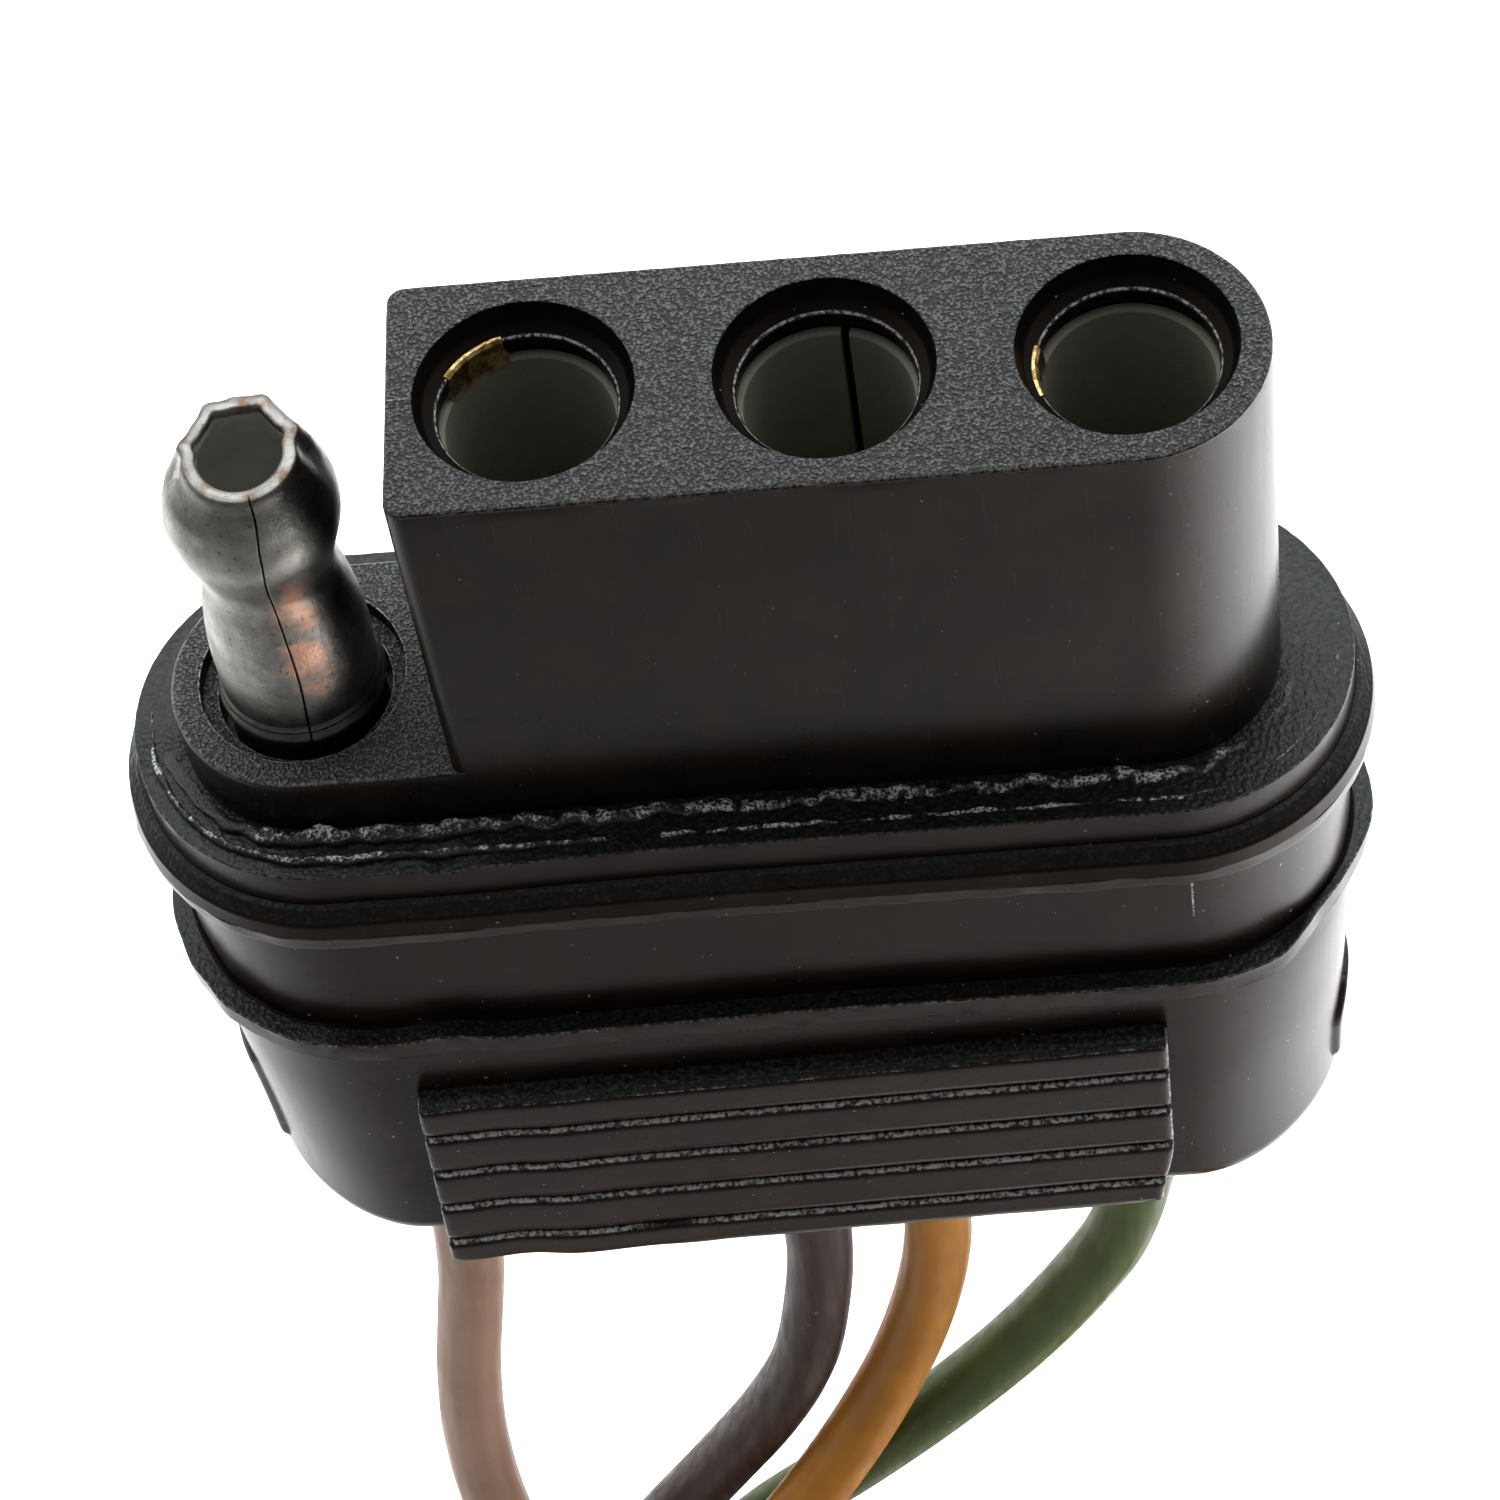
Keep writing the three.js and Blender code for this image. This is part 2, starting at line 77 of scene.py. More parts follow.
# ---- Details of the looks, in millimetres and degrees, but the floor in metres ----
CORNER_STEPS = 5
HOLE_SIDES = 96
BULLET_SIDES = 240
SEAM_TURN = -80.0
STRAND_R, STRAND_SIDES = 0.118, 8
TIE_CORNER_R = 1.0
PAD_COLUMNS = 180
PAD_SHUT = BODY_HALF - 0.5
LINE_PAST_END = 0.42
FLOOR_HALF_M = 2.0

# ---- Camera ----
CAMERA = (10.9365, -84.6233, 129.8685)
RIGHT = Vector((0.9954757, -0.0273164, -0.0910052))
DOWN = Vector((-0.0728818, -0.8340300, -0.5468842))
AHEAD = Vector((-0.0609622, 0.5510425, -0.8322474))


def make_camera():
    data = bpy.data.cameras.new("camera")
    data.sensor_width = 36.0
    data.lens = 127.143
    data.shift_x, data.shift_y = -0.03015, -0.00095
    data.clip_start, data.clip_end = 0.01, 5.0
    cam = bpy.data.objects.new("camera", data)
    turn = Matrix((RIGHT, -DOWN, -AHEAD)).transposed().to_4x4()
    cam.matrix_world = Matrix.Translation(Vector(CAMERA) * MM) @ turn
    bpy.context.scene.collection.objects.link(cam)
    bpy.context.scene.camera = cam


make_camera()


# ---- Materials ----
class Shader:
    """One procedural material: a Principled shader and the few nodes that feed it."""

    def __init__(self, name, roughness=0.5, metallic=0.0, level=0.5):
        self.material = bpy.data.materials.new(name)
        self.material.use_nodes = True
        self.tree = self.material.node_tree
        self.bsdf = next(n for n in self.tree.nodes if n.type == "BSDF_PRINCIPLED")
        self.bsdf.inputs["Roughness"].default_value = roughness
        self.bsdf.inputs["Metallic"].default_value = metallic
        self.bsdf.inputs["Specular IOR Level"].default_value = level
        self.place = self.new("ShaderNodeTexCoord").outputs["Object"]

    def new(self, kind, **settings):
        node = self.tree.nodes.new(kind)
        for key, value in settings.items():
            setattr(node, key, value)
        return node

    def set(self, socket, value):
        if isinstance(value, bpy.types.NodeSocket):
            self.tree.links.new(value, socket)
        else:
            socket.default_value = value

    def stretch(self, factors):
        """The place again, with each axis scaled, so that a texture runs along one of them."""
        node = self.new("ShaderNodeMapping")
        self.set(node.inputs["Vector"], self.place)
        node.inputs["Scale"].default_value = factors
        return node.outputs["Vector"]

    def noise(self, size, detail=2.0, place=None, rough=0.5):
        """Noise whose blotches are about size millimetres."""
        node = self.new("ShaderNodeTexNoise")
        self.set(node.inputs["Vector"], place or self.place)
        node.inputs["Scale"].default_value = 1000.0 / size
        node.inputs["Detail"].default_value = detail
        node.inputs["Roughness"].default_value = rough
        return node.outputs["Fac"]

    def pebble(self, size):
        node = self.new("ShaderNodeTexVoronoi", feature="SMOOTH_F1")
        self.set(node.inputs["Vector"], self.place)
        node.inputs["Scale"].default_value = 1000.0 / size
        return node.outputs["Distance"]

    def span(self, value, low, high, to_low=0.0, to_high=1.0):
        node = self.new("ShaderNodeMapRange", interpolation_type="SMOOTHSTEP")
        for socket, given in zip(node.inputs, (value, low, high, to_low, to_high)):
            self.set(socket, given)
        return node.outputs["Result"]

    def calc(self, kind, a, b):
        node = self.new("ShaderNodeMath", operation=kind)
        self.set(node.inputs[0], a)
        self.set(node.inputs[1], b)
        return node.outputs[0]

    def plus(self, a, b):
        return self.calc("ADD", a, b)

    def times(self, a, b):
        return self.calc("MULTIPLY", a, b)

    def blend(self, factor, a, b):
        """Colour a where factor is 0, and b where it is 1."""
        node = self.new("ShaderNodeMix", data_type="RGBA")
        sockets = [s for s in node.inputs if s.enabled]
        for socket, given in zip(sockets, (factor, a, b)):
            self.set(socket, (*given, 1.0) if isinstance(given, tuple) else given)
        return next(s for s in node.outputs if s.enabled)

    def upward(self):
        """1 on faces that look up the part's Z, 0 on its walls."""
        node = self.new("ShaderNodeSeparateXYZ")
        self.set(node.inputs[0], self.new("ShaderNodeNewGeometry").outputs["Normal"])
        return self.span(node.outputs["Z"], 0.45, 0.8)

    def wear_and_shading(self, layer="wear_and_shading"):
        """A value that the mesh carries. It runs up to 1 on its outer edges, which go pale from scuffing and
        painted highlights, and down to -1 in its corners, which take painted shade.
        """
        return self.new("ShaderNodeAttribute", attribute_name=layer).outputs["Fac"]

    def finish(self, colour, roughness=None, height=None, depth=0.02):
        """Joins up the shader. Depth is the height of its bump, in millimetres."""
        self.set(self.bsdf.inputs["Base Color"], colour)
        if roughness is not None:
            self.set(self.bsdf.inputs["Roughness"], roughness)
        if height is not None:
            bump = self.new("ShaderNodeBump")
            bump.inputs["Strength"].default_value = 1.0
            bump.inputs["Distance"].default_value = depth * MM
            self.set(bump.inputs["Height"], height)
            self.set(self.bsdf.inputs["Normal"], bump.outputs["Normal"])
        return self.material


def moulded(name, wall, top, crevice, wall_roughness, top_roughness, gloss, grain, grain_depth):
    """Black moulded PVC: satin on its walls, pebbled where it faces up. Its up-facing faces get a much
    lighter colour, painted light from above, with painted shade in the pebbles' hollows and in corners; its
    edges are pale from scuffing and from painted highlights.
    """
    s = Shader(name)
    wear_and_shading = s.wear_and_shading()
    # Up-facing faces, except where the value falls below zero: corners and hollows lose the lit top colour,
    # which is painted shade.
    up = s.times(s.upward(), s.span(wear_and_shading, -0.45, -0.15))
    grit = s.noise(0.14, 3.0)
    edge = s.span(s.times(wear_and_shading, s.span(grit, 0.3, 0.7, 0.3, 1.0)), 0.12, 0.6)
    corner = s.span(wear_and_shading, -1.0, 0.0, 1.0, 0.0)
    pebbles = s.plus(s.pebble(grain), s.times(s.noise(grain * 0.7, 2.0), 0.8))
    cloud = s.noise(2.2, 4.0)
    # Painted light and shade: the pebbles take the lit top colour, and their hollows take the crevice
    # colour, which is painted shade.
    painted_lit_grain = s.blend(s.span(pebbles, 0.50, 0.92), top, crevice)
    plain = s.blend(s.span(cloud, 0.35, 0.75), wall, tuple(1.6 * c for c in wall))
    # Up-facing faces take the lit grain and walls the plain colour: a lit and a shaded copy of one plastic,
    # painted.
    colour = s.blend(up, plain, painted_lit_grain)
    # Edges go pale grey, partly from scuffs and partly as a painted highlight.
    colour = s.blend(s.times(edge, 0.8), colour, (0.17, 0.17, 0.17))
    # Where the value runs high, as on the sockets' lips and the grip ledges, a near-white painted highlight.
    painted_edge_highlight = s.span(s.times(wear_and_shading, s.span(grit, 0.35, 0.65, 0.5, 1.3)), 0.42, 0.95)
    colour = s.blend(painted_edge_highlight, colour, (0.55, 0.55, 0.54))
    # Painted shade: corners and hollows, where the value is below zero, go near black.
    colour = s.blend(s.times(corner, 0.75), colour, (0.002, 0.002, 0.002))
    speck = s.span(s.noise(0.13, 0.0), 0.86, 0.88, 0.0, 0.6)
    colour = s.blend(speck, colour, (0.4, 0.39, 0.38))
    streak = s.noise(0.2, 3.0, s.stretch((1.0, 1.0, 0.05)))
    rough = s.span(up, 0.0, 1.0, wall_roughness, top_roughness)
    rough = s.plus(rough, s.span(streak, 0.3, 0.8, -0.01, 0.02))
    rough = s.plus(rough, s.times(edge, 0.2))
    s.set(s.bsdf.inputs["Specular IOR Level"], s.span(up, 0.0, 1.0, gloss[0], gloss[1]))
    # Painted reflection tint: the walls' reflections are tinted warm brown, and the tops' near white.
    s.set(s.bsdf.inputs["Specular Tint"], s.blend(up, (1.0, 0.81, 0.70), (0.95, 1.0, 1.0)))
    coarse = s.times(pebbles, s.span(up, 0.0, 1.0, 0.01, -1.0))
    fine = s.times(streak, s.span(up, 0.0, 1.0, 0.001, 0.0))
    ragged = s.times(grit, s.calc("MAXIMUM", wear_and_shading, 0.0))
    height = s.plus(s.plus(coarse, fine), ragged)
    return s.finish(colour, rough, height, depth=grain_depth)


def torn():
    """PVC that tore when the mould opened: black in its folds, whitish on its stretched ridges, partly
    stress whitening and partly a painted highlight on their crests.
    """
    s = Shader("torn_pvc")
    grit = s.noise(0.10, 3.0, rough=0.6)
    much = s.times(s.calc("MAXIMUM", s.wear_and_shading(), 0.0), s.span(grit, 0.38, 0.62, 0.1, 1.0))
    colour = s.blend(s.span(much, 0.1, 0.85), (0.014, 0.015, 0.015), (0.85, 0.84, 0.81))
    return s.finish(colour, s.span(much, 0.0, 1.0, 0.38, 0.55), grit, depth=0.05)


def plated():
    """Dull tin plate over copper alloy, coppery where rubbing has bared it, and pale and not metal inside
    the mouth, painted light there.
    """
    s = Shader("tin_plate", metallic=1.0)
    colour = s.blend(s.noise(0.5, 4.0, rough=0.65), (0.075, 0.072, 0.066), (0.23, 0.22, 0.20))
    coppery = s.span(s.times(s.noise(0.9, 4.0), s.wear_and_shading("rubbed_and_lit_mouth")), 0.34, 0.60)
    colour = s.blend(coppery, colour, (0.38, 0.22, 0.155))
    spots = s.span(s.noise(0.16, 2.0), 0.62, 0.72, 0.0, 0.7)
    colour = s.blend(spots, colour, (0.05, 0.048, 0.045))
    # Dark where the value is below zero: in the seam's groove, and as painted shade on the bore's floor.
    crease = s.span(s.wear_and_shading(), -1.0, -0.1, 1.0, 0.0)
    colour = s.blend(s.times(crease, 0.85), colour, (0.03, 0.02, 0.016))
    bright = s.span(s.times(s.wear_and_shading(), s.span(s.noise(0.2, 2.0), 0.3, 0.6, 0.6, 1.0)), 0.2, 0.8)
    edge = s.blend(s.span(s.noise(0.7, 3.0), 0.5, 0.66), (0.25, 0.25, 0.24), (0.15, 0.11, 0.08))
    colour = s.blend(bright, colour, edge)
    # Painted light: inside the mouth the plate is a pale grey and not metal, so it shows bright.
    mouth = s.span(s.wear_and_shading("rubbed_and_lit_mouth"), -0.9, -0.1, 1.0, 0.0)
    colour = s.blend(mouth, colour, s.blend(s.noise(1.0, 3.0), (0.62, 0.62, 0.58), (0.45, 0.43, 0.38)))
    s.set(s.bsdf.inputs["Metallic"], s.span(mouth, 0.0, 1.0, 1.0, 0.0))
    scratch = s.noise(0.14, 3.0, s.stretch((1.0, 1.0, 0.08)))
    rough = s.span(s.plus(s.noise(0.8, 4.0), s.times(scratch, 0.3)), 0.4, 0.9, 0.32, 0.50)
    height = s.plus(s.times(s.noise(0.1, 2.0), 0.3), s.times(scratch, 0.2))
    return s.finish(colour, rough, s.plus(height, s.noise(1.0, 1.0)), depth=0.035)


def brass():
    """Contact strip: brass where the wear_and_shading value is above zero, a painted glint on the arcs of
    rim that catch the light; a dull grey elsewhere.
    """
    s = Shader("contact_brass", level=0.3)
    # Painted glint: brass colour and metal only on the marked arcs of rim.
    brass_glint = s.span(s.wear_and_shading(), 0.1, 0.6)
    tone = s.blend(s.span(s.noise(0.3, 3.0), 0.35, 0.65), (0.20, 0.125, 0.04), (0.62, 0.45, 0.20))
    dark = s.blend(s.noise(1.2, 3.0), (0.27, 0.27, 0.22), (0.20, 0.20, 0.16))
    speck = s.span(s.noise(0.3, 0.0), 0.78, 0.83, 0.0, 0.5)
    colour = s.blend(brass_glint, s.blend(speck, dark, (0.2, 0.2, 0.17)), tone)
    s.set(s.bsdf.inputs["Metallic"], brass_glint)
    return s.finish(colour, s.span(brass_glint, 0.0, 1.0, 0.6, 0.34), s.noise(0.15, 3.0), depth=0.03)


def copper():
    s = Shader("bare_copper", metallic=1.0)
    colour = s.blend(s.noise(0.5, 3.0), (0.62, 0.30, 0.17), (0.80, 0.45, 0.28))
    lines = s.noise(0.12, 2.0, s.stretch((1.0, 1.0, 0.15)))
    return s.finish(colour, s.span(lines, 0.3, 0.8, 0.25, 0.45), lines, depth=0.02)


def insulation(name, light, dark):
    """PVC insulation with the faint waves and dulled streaks of extruded wire."""
    s = Shader("insulation_" + name, level=0.08)
    cloud = s.noise(2.6, 4.0)
    colour = s.blend(s.span(cloud, 0.3, 0.7), light, dark)
    speck = s.span(s.noise(0.3, 1.0), 0.76, 0.82, 0.0, 0.35)
    colour = s.blend(speck, colour, (0.30, 0.28, 0.26))
    drawn = s.noise(0.3, 3.0, s.stretch((1.0, 1.0, 0.08)))
    rough = s.span(drawn, 0.3, 0.75, 0.38, 0.58)
    height = s.plus(s.times(drawn, 0.35), s.noise(1.6, 1.0))
    return s.finish(colour, rough, height, depth=0.025)


def nylon():
    s = Shader("tie_nylon", level=0.4)
    colour = s.blend(s.noise(0.9, 3.0), (0.010, 0.010, 0.010), (0.022, 0.021, 0.021))
    edge = s.span(s.times(s.wear_and_shading(), s.noise(0.2, 2.0)), 0.25, 0.6, 0.0, 0.5)
    colour = s.blend(edge, colour, (0.10, 0.10, 0.10))
    return s.finish(colour, s.span(s.noise(0.5, 3.0), 0.3, 0.7, 0.35, 0.55), s.noise(0.25, 3.0), depth=0.02)


def floor_paint():
    s = Shader("floor_paint", roughness=0.9, level=0.1)
    return s.finish(s.blend(s.noise(60.0, 2.0), (0.86, 0.86, 0.86), (0.88, 0.88, 0.88)))


# After the name: wall colour, top colour, crevice colour, wall and top roughness, gloss, grain size and
# grain depth. The top colours are painted light, far lighter than the walls as if lit from above; the
# crevice colours are painted shade.
INSERT = moulded("insert_pvc", (0.0075, 0.0056, 0.0042), (0.215, 0.225, 0.230), (0.022, 0.024, 0.025),
                 0.26, 0.42, (0.060, 0.6), 0.09, 0.14)
JACKET = moulded("jacket_pvc", (0.0080, 0.0052, 0.0040), (0.024, 0.028, 0.029), (0.008, 0.009, 0.009),
                 0.24, 0.40, (0.042, 0.30), 0.15, 0.03)
TORN, PLATE, BRASS, COPPER, NYLON = torn(), plated(), brass(), copper(), nylon()
# These colours are the wires' shaded looks, not their own: painted shade of their backlit sides, plain to
# see in the white wire's dim tan.
INSULATION = {
    "white": insulation("white", (0.25, 0.150, 0.105), (0.21, 0.125, 0.085)),
    "brown": insulation("brown", (0.030, 0.016, 0.012), (0.022, 0.012, 0.009)),
    "yellow": insulation("yellow", (0.32, 0.125, 0.008), (0.26, 0.098, 0.006)),
    "green": insulation("green", (0.056, 0.080, 0.020), (0.042, 0.062, 0.015)),
}

# ---- Wires: the part's own routes ----
WIRES = {
    "white": dict(terminal=0, outer=1, layer=1, route=[
        (-11.91, 0, -6.4), (-11.8, 0, -10.0), (-11.65, 0, -13.4), (-11.62, 0, -16.2), (-11.66, 0, -20.0),
        (-11.85, 0, -24.0), (-12.2, 0, -28.0), (-12.75, 0, -31.6), (-13.3, -0.1, -35.2),
        (-13.75, -0.3, -40.0), (-13.7, -0.7, -45.0), (-13.0, -1.3, -50.0), (-12.0, -2.15, -54.5)]),
    "brown": dict(terminal=1, outer=1, layer=0, route=[
        (-3.95, 0, -6.4), (-3.1, 0, -9.2), (-1.9, 0, -12.6), (-1.3, 0, -16.2), (-0.75, 0, -20.0),
        (-0.4, 0, -24.0), (-0.35, 0, -28.0), (-0.8, 0, -32.2), (-1.6, 0, -36.4), (-3.2, 0.3, -41.0),
        (-5.6, 0.6, -46.0), (-8.5, 0.5, -51.0), (-10.6, 0.25, -55.0)]),
    "yellow": dict(terminal=2, outer=0, layer=1, route=[
        (3.97, 0, -6.4), (3.97, 0, -9.6), (3.95, 0, -13.0), (3.93, 0, -16.2), (3.9, 0, -20.0),
        (3.82, 0, -24.0), (3.66, 0, -28.0), (3.05, 0, -32.0), (1.85, -0.3, -36.2), (-0.2, -0.9, -41.0),
        (-3.0, -1.7, -46.0), (-6.1, -2.1, -51.0), (-8.2, -2.3, -55.0)]),
    "green": dict(terminal=3, outer=0, layer=0, route=[
        (11.91, 0, -6.4), (11.85, 0, -9.6), (11.7, 0, -13.0), (11.5, 0, -16.2), (11.2, 0, -20.0),
        (10.65, 0, -24.2), (9.75, 0, -28.6), (8.3, 0, -32.0), (6.0, 0, -36.2), (3.0, 0, -40.6),
        (-0.3, 0.3, -45.4), (-4.3, 0.5, -50.4), (-7.6, 0.2, -55.2)]),
}
BUNDLE = [(-10.0, -1.2, -59.0), (-10.0, -2.6, -64.6), (-10.0, -5.2, -69.3), (-10.0, -9.0, -72.7),
          (COIL_X - COIL_R - SPACING / 2, COIL_Y, COIL_BASE + WIRE_D / 2 + SPACING / 2 + DROP)]


def bundle_point(index, wire):
    x, y, z = BUNDLE[index]
    before, after = BUNDLE[max(index - 1, 0)], BUNDLE[min(index + 1, len(BUNDLE) - 1)]
    dy, dz = after[1] - before[1], after[2] - before[2]
    long = math.hypot(dy, dz)
    across, up = SPACING * (0.5 - wire["outer"]), SPACING * (wire["layer"] - 0.5)
    return (x + across, y + up * dz / long, z - up * dy / long)


def coil_point(angle, wire):
    """A wire's place in the coil. It comes down onto the floor in the first DROP_ANGLE of its first turn."""
    def middle(a):
        radius = COIL_R + wire["outer"] * SPACING + 2 * SPACING * a / (2 * math.pi)
        z = COIL_BASE + (WIRE_D + SPACING) / 2 + DROP * max(0.0, 1 - a / DROP_ANGLE) ** 2
        return np.array((COIL_X - radius * math.cos(a), COIL_Y - radius * math.sin(a), z))

    here = middle(angle)
    way = middle(angle + 1e-3) - here
    flat = math.hypot(way[0], way[1])
    up = SPACING * (wire["layer"] - 0.5) / np.linalg.norm(way)
    return here + up * np.array((-way[0] * way[2] / flat, -way[1] * way[2] / flat, flat))


def smooth_line(points, per_span=8):
    """Centripetal Catmull-Rom through the points, as the part's own tubes follow."""
    p = [np.array(q, float) for q in points]
    p = [2 * p[0] - p[1], *p, 2 * p[-1] - p[-2]]
    out = []
    for a, b, c, d in zip(p, p[1:], p[2:], p[3:]):
        t0, t1, t2 = (np.linalg.norm(v) ** 0.5 for v in (b - a, c - b, d - c))
        m1 = t1 * ((b - a) / t0 - (c - a) / (t0 + t1) + (c - b) / t1)
        m2 = t1 * ((c - b) / t1 - (d - b) / (t1 + t2) + (d - c) / t2)
        for k in range(per_span):
            u = k / per_span
            out.append(b * (2 * u**3 - 3 * u**2 + 1) + m1 * (u**3 - 2 * u**2 + u)
                       + c * (3 * u**2 - 2 * u**3) + m2 * (u**3 - u**2))
    return out + [p[-2]]


def ease(x):
    x = min(max(x, 0.0), 1.0)
    return x * x * (3 - 2 * x)


def bell(distance, width):
    return math.exp(-(distance / width) ** 2)


def turn_between(a, b):
    """The angle from b to a, within half a circle either way."""
    return (a - b + math.pi) % (2 * math.pi) - math.pi


def wire_line(wire):
    """The whole middle line of a wire, and the tip of its bare stretch."""
    line = smooth_line([(TERMINAL_X[wire["terminal"]], 0, WIRE_START_Z), *wire["route"],
                        *(bundle_point(k, wire) for k in range(len(BUNDLE)))])
    turn = 2 * math.pi * LEAVE_TURNS[wire["outer"]]
    steps = round(turn / math.radians(4))
    line += [coil_point(turn * k / steps, wire) for k in range(1, steps + 1)]
    heading = np.array((math.sin(turn), -math.cos(turn), 0.0))
    start = line[-1]
    line += [start + heading * TAIL[wire["outer"]] * k / 10 for k in range(1, 11)]
    return line, line[-1] + heading * STRIPPED


def linked(name, data, material):
    piece = bpy.data.objects.new(name, data)
    bpy.context.scene.collection.objects.link(piece)
    data.materials.append(material)
    return piece


def make_wire(name, wire):
    line, tip = wire_line(wire)
    data = bpy.data.curves.new("lead_" + name, "CURVE")
    data.dimensions = "3D"
    data.bevel_depth = WIRE_D / 2 * MM
    data.bevel_resolution = 5
    data.use_fill_caps = True
    spline = data.splines.new("POLY")
    spline.points.add(len(line) - 1)
    for point, at in zip(spline.points, line):
        point.co = (*(at * MM), 1.0)
    piece = linked("lead_" + name, data, INSULATION[name])
    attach(piece, "root")
    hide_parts("wire_" + name, "wire_coil")
    return piece, line, tip


# ---- Mesh building ----
def is_inside(point, loop):
    """Whether a flat point lies inside a closed loop."""
    a = np.asarray(loop, float)[:, :2]
    b = np.roll(a, -1, axis=0)
    crosses = (a[:, 1] > point.y) != (b[:, 1] > point.y)
    rise = np.where(b[:, 1] == a[:, 1], 1.0, b[:, 1] - a[:, 1])
    at = a[:, 0] + (point.y - a[:, 1]) * (b[:, 0] - a[:, 0]) / rise
    return bool((crosses & (at > point.x)).sum() % 2)


class Shape:
    """Points, faces and wear_and_shading values of one mesh, in millimetres."""

    def __init__(self):
        self.points, self.faces, self.wear_and_shading = [], [], []

    def grid(self, rows, wear_and_shading=0.0, closed=True, flip=False):
        """Rows of points joined to each other. The wear_and_shading value is one number, or one for each row
        or point.
        """
        rows = np.asarray(rows, float)
        count, wide = rows.shape[:2]
        base = len(self.points)
        self.points += rows.reshape(-1, 3).tolist()
        value = np.asarray(wear_and_shading, float)
        if value.ndim == 1:
            value = value[:, None]
        self.wear_and_shading += np.broadcast_to(value, (count, wide)).ravel().tolist()
        for r in range(count - 1):
            for c in range(wide if closed else wide - 1):
                n = (c + 1) % wide
                face = [base + r * wide + c, base + (r + 1) * wide + c,
                        base + (r + 1) * wide + n, base + r * wide + n]
                self.faces.append(face[::-1] if flip else face)

    def fill(self, loops, z, flip=False, wear_and_shading=0.0):
        """A flat face at height z inside the first loop and outside the others."""
        flat, edges = [], []
        for loop in loops:
            start = len(flat)
            flat += [Vector((float(p[0]), float(p[1]))) for p in loop]
            edges += [(start + k, start + (k + 1) % len(loop)) for k in range(len(loop))]
        out, _, faces, *_ = delaunay_2d_cdt(flat, edges, [], 1, 1e-5)
        base = len(self.points)
        self.points += [[p.x, p.y, z] for p in out]
        self.wear_and_shading += [wear_and_shading] * len(out)
        for face in faces:
            middle = sum((out[k] for k in face), Vector((0, 0))) / 3
            if any(is_inside(middle, loop) for loop in loops[1:]):
                continue
            a, b, c = (out[face[k]] for k in range(3))
            upward = (b - a).cross(c - a) > 0
            order = list(face) if upward != flip else list(face)[::-1]
            self.faces.append([base + k for k in order])

    def close(self, row, flip=False):
        """A face over a row of points that need not be quite flat."""
        self.fill([row], row[0][2], flip)
        self.points[-len(row):] = [list(p) for p in row]

    def cap(self, loop, flip=False):
        """One many-sided face over a closed loop."""
        base = len(self.points)
        self.points += [list(p) for p in loop]
        self.wear_and_shading += [0.0] * len(loop)
        face = [base + k for k in range(len(loop))]
        self.faces.append(face[::-1] if flip else face)

    def build(self, name, material, slot, replaces=(), sharp=38.0):
        mesh = bpy.data.meshes.new(name)
        mesh.from_pydata([[c * MM for c in p] for p in self.points], [], self.faces)
        layer = mesh.attributes.new("wear_and_shading", "FLOAT", "POINT")
        layer.data.foreach_set("value", self.wear_and_shading)
        work = bmesh.new()
        work.from_mesh(mesh)
        bmesh.ops.remove_doubles(work, verts=work.verts, dist=0.0004 * MM)
        bmesh.ops.dissolve_degenerate(work, edges=work.edges, dist=0.0002 * MM)
        work.to_mesh(mesh)
        work.free()
        mesh.shade_smooth()
        mesh.set_sharp_from_angle(angle=math.radians(sharp))
        piece = linked(name, mesh, material)
        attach(piece, "root")
        if replaces:
            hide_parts(*replaces)
        return piece


def bumpy(x, y, z, size, seed):
    """Smooth noise from about -1 to 1."""
    return noise.noise(Vector((x / size + seed, y / size - seed, z / size + 2 * seed)))


def rounded(corners, step):
    """A profile of (offset, height, corner radius, wear_and_shading value) as rows of offset, height and
    that value.
    """
    rows = []
    last = len(corners) - 1
    for k, (o, z, radius, *wear_shade) in enumerate(corners):
        here = np.array((o, z), float)
        if k in (0, last) or radius <= 0:
            rows.append((here, 0.0))
            continue
        before, after = (np.array(corners[j][:2], float) for j in (k - 1, k + 1))
        a, b = (before - here), (after - here)
        la, lb = np.linalg.norm(a), np.linalg.norm(b)
        a, b = a / la, b / lb
        half = math.acos(max(-1.0, min(1.0, float(a @ b)))) / 2
        cut = min(radius / math.tan(half), 0.49 * la, 0.49 * lb)
        radius = cut * math.tan(half)
        centre = here + (a + b) / np.linalg.norm(a + b) * radius / math.sin(half)
        # A convex corner carries its given value (0.3 if none), for pale scuffs and a painted highlight; a
        # concave corner carries -1, for painted shade.
        outside = (wear_shade[0] if wear_shade else 0.3) if a[0] * b[1] - a[1] * b[0] > 0 else -1.0
        start, end = here + a * cut - centre, here + b * cut - centre
        rows.append((here + a * (cut + 0.03), 0.0))
        for n in range(CORNER_STEPS + 1):
            t = n / CORNER_STEPS
            way = start * (1 - t) + end * t
            way *= radius / np.linalg.norm(way)
            rows.append((centre + way, outside * math.sin(math.pi * (0.15 + 0.7 * t))))
        rows.append((here + b * (cut + 0.03), 0.0))
    out = [rows[0]]
    for (p, _), row in zip(rows, rows[1:]):
        gap = np.linalg.norm(row[0] - p)
        pieces = max(1, math.ceil(gap / step))
        for n in range(1, pieces):
            out.append((p + (row[0] - p) * n / pieces, 0.0))
        out.append(row)
    return [(float(p[0]), float(p[1]), w) for p, w in out]


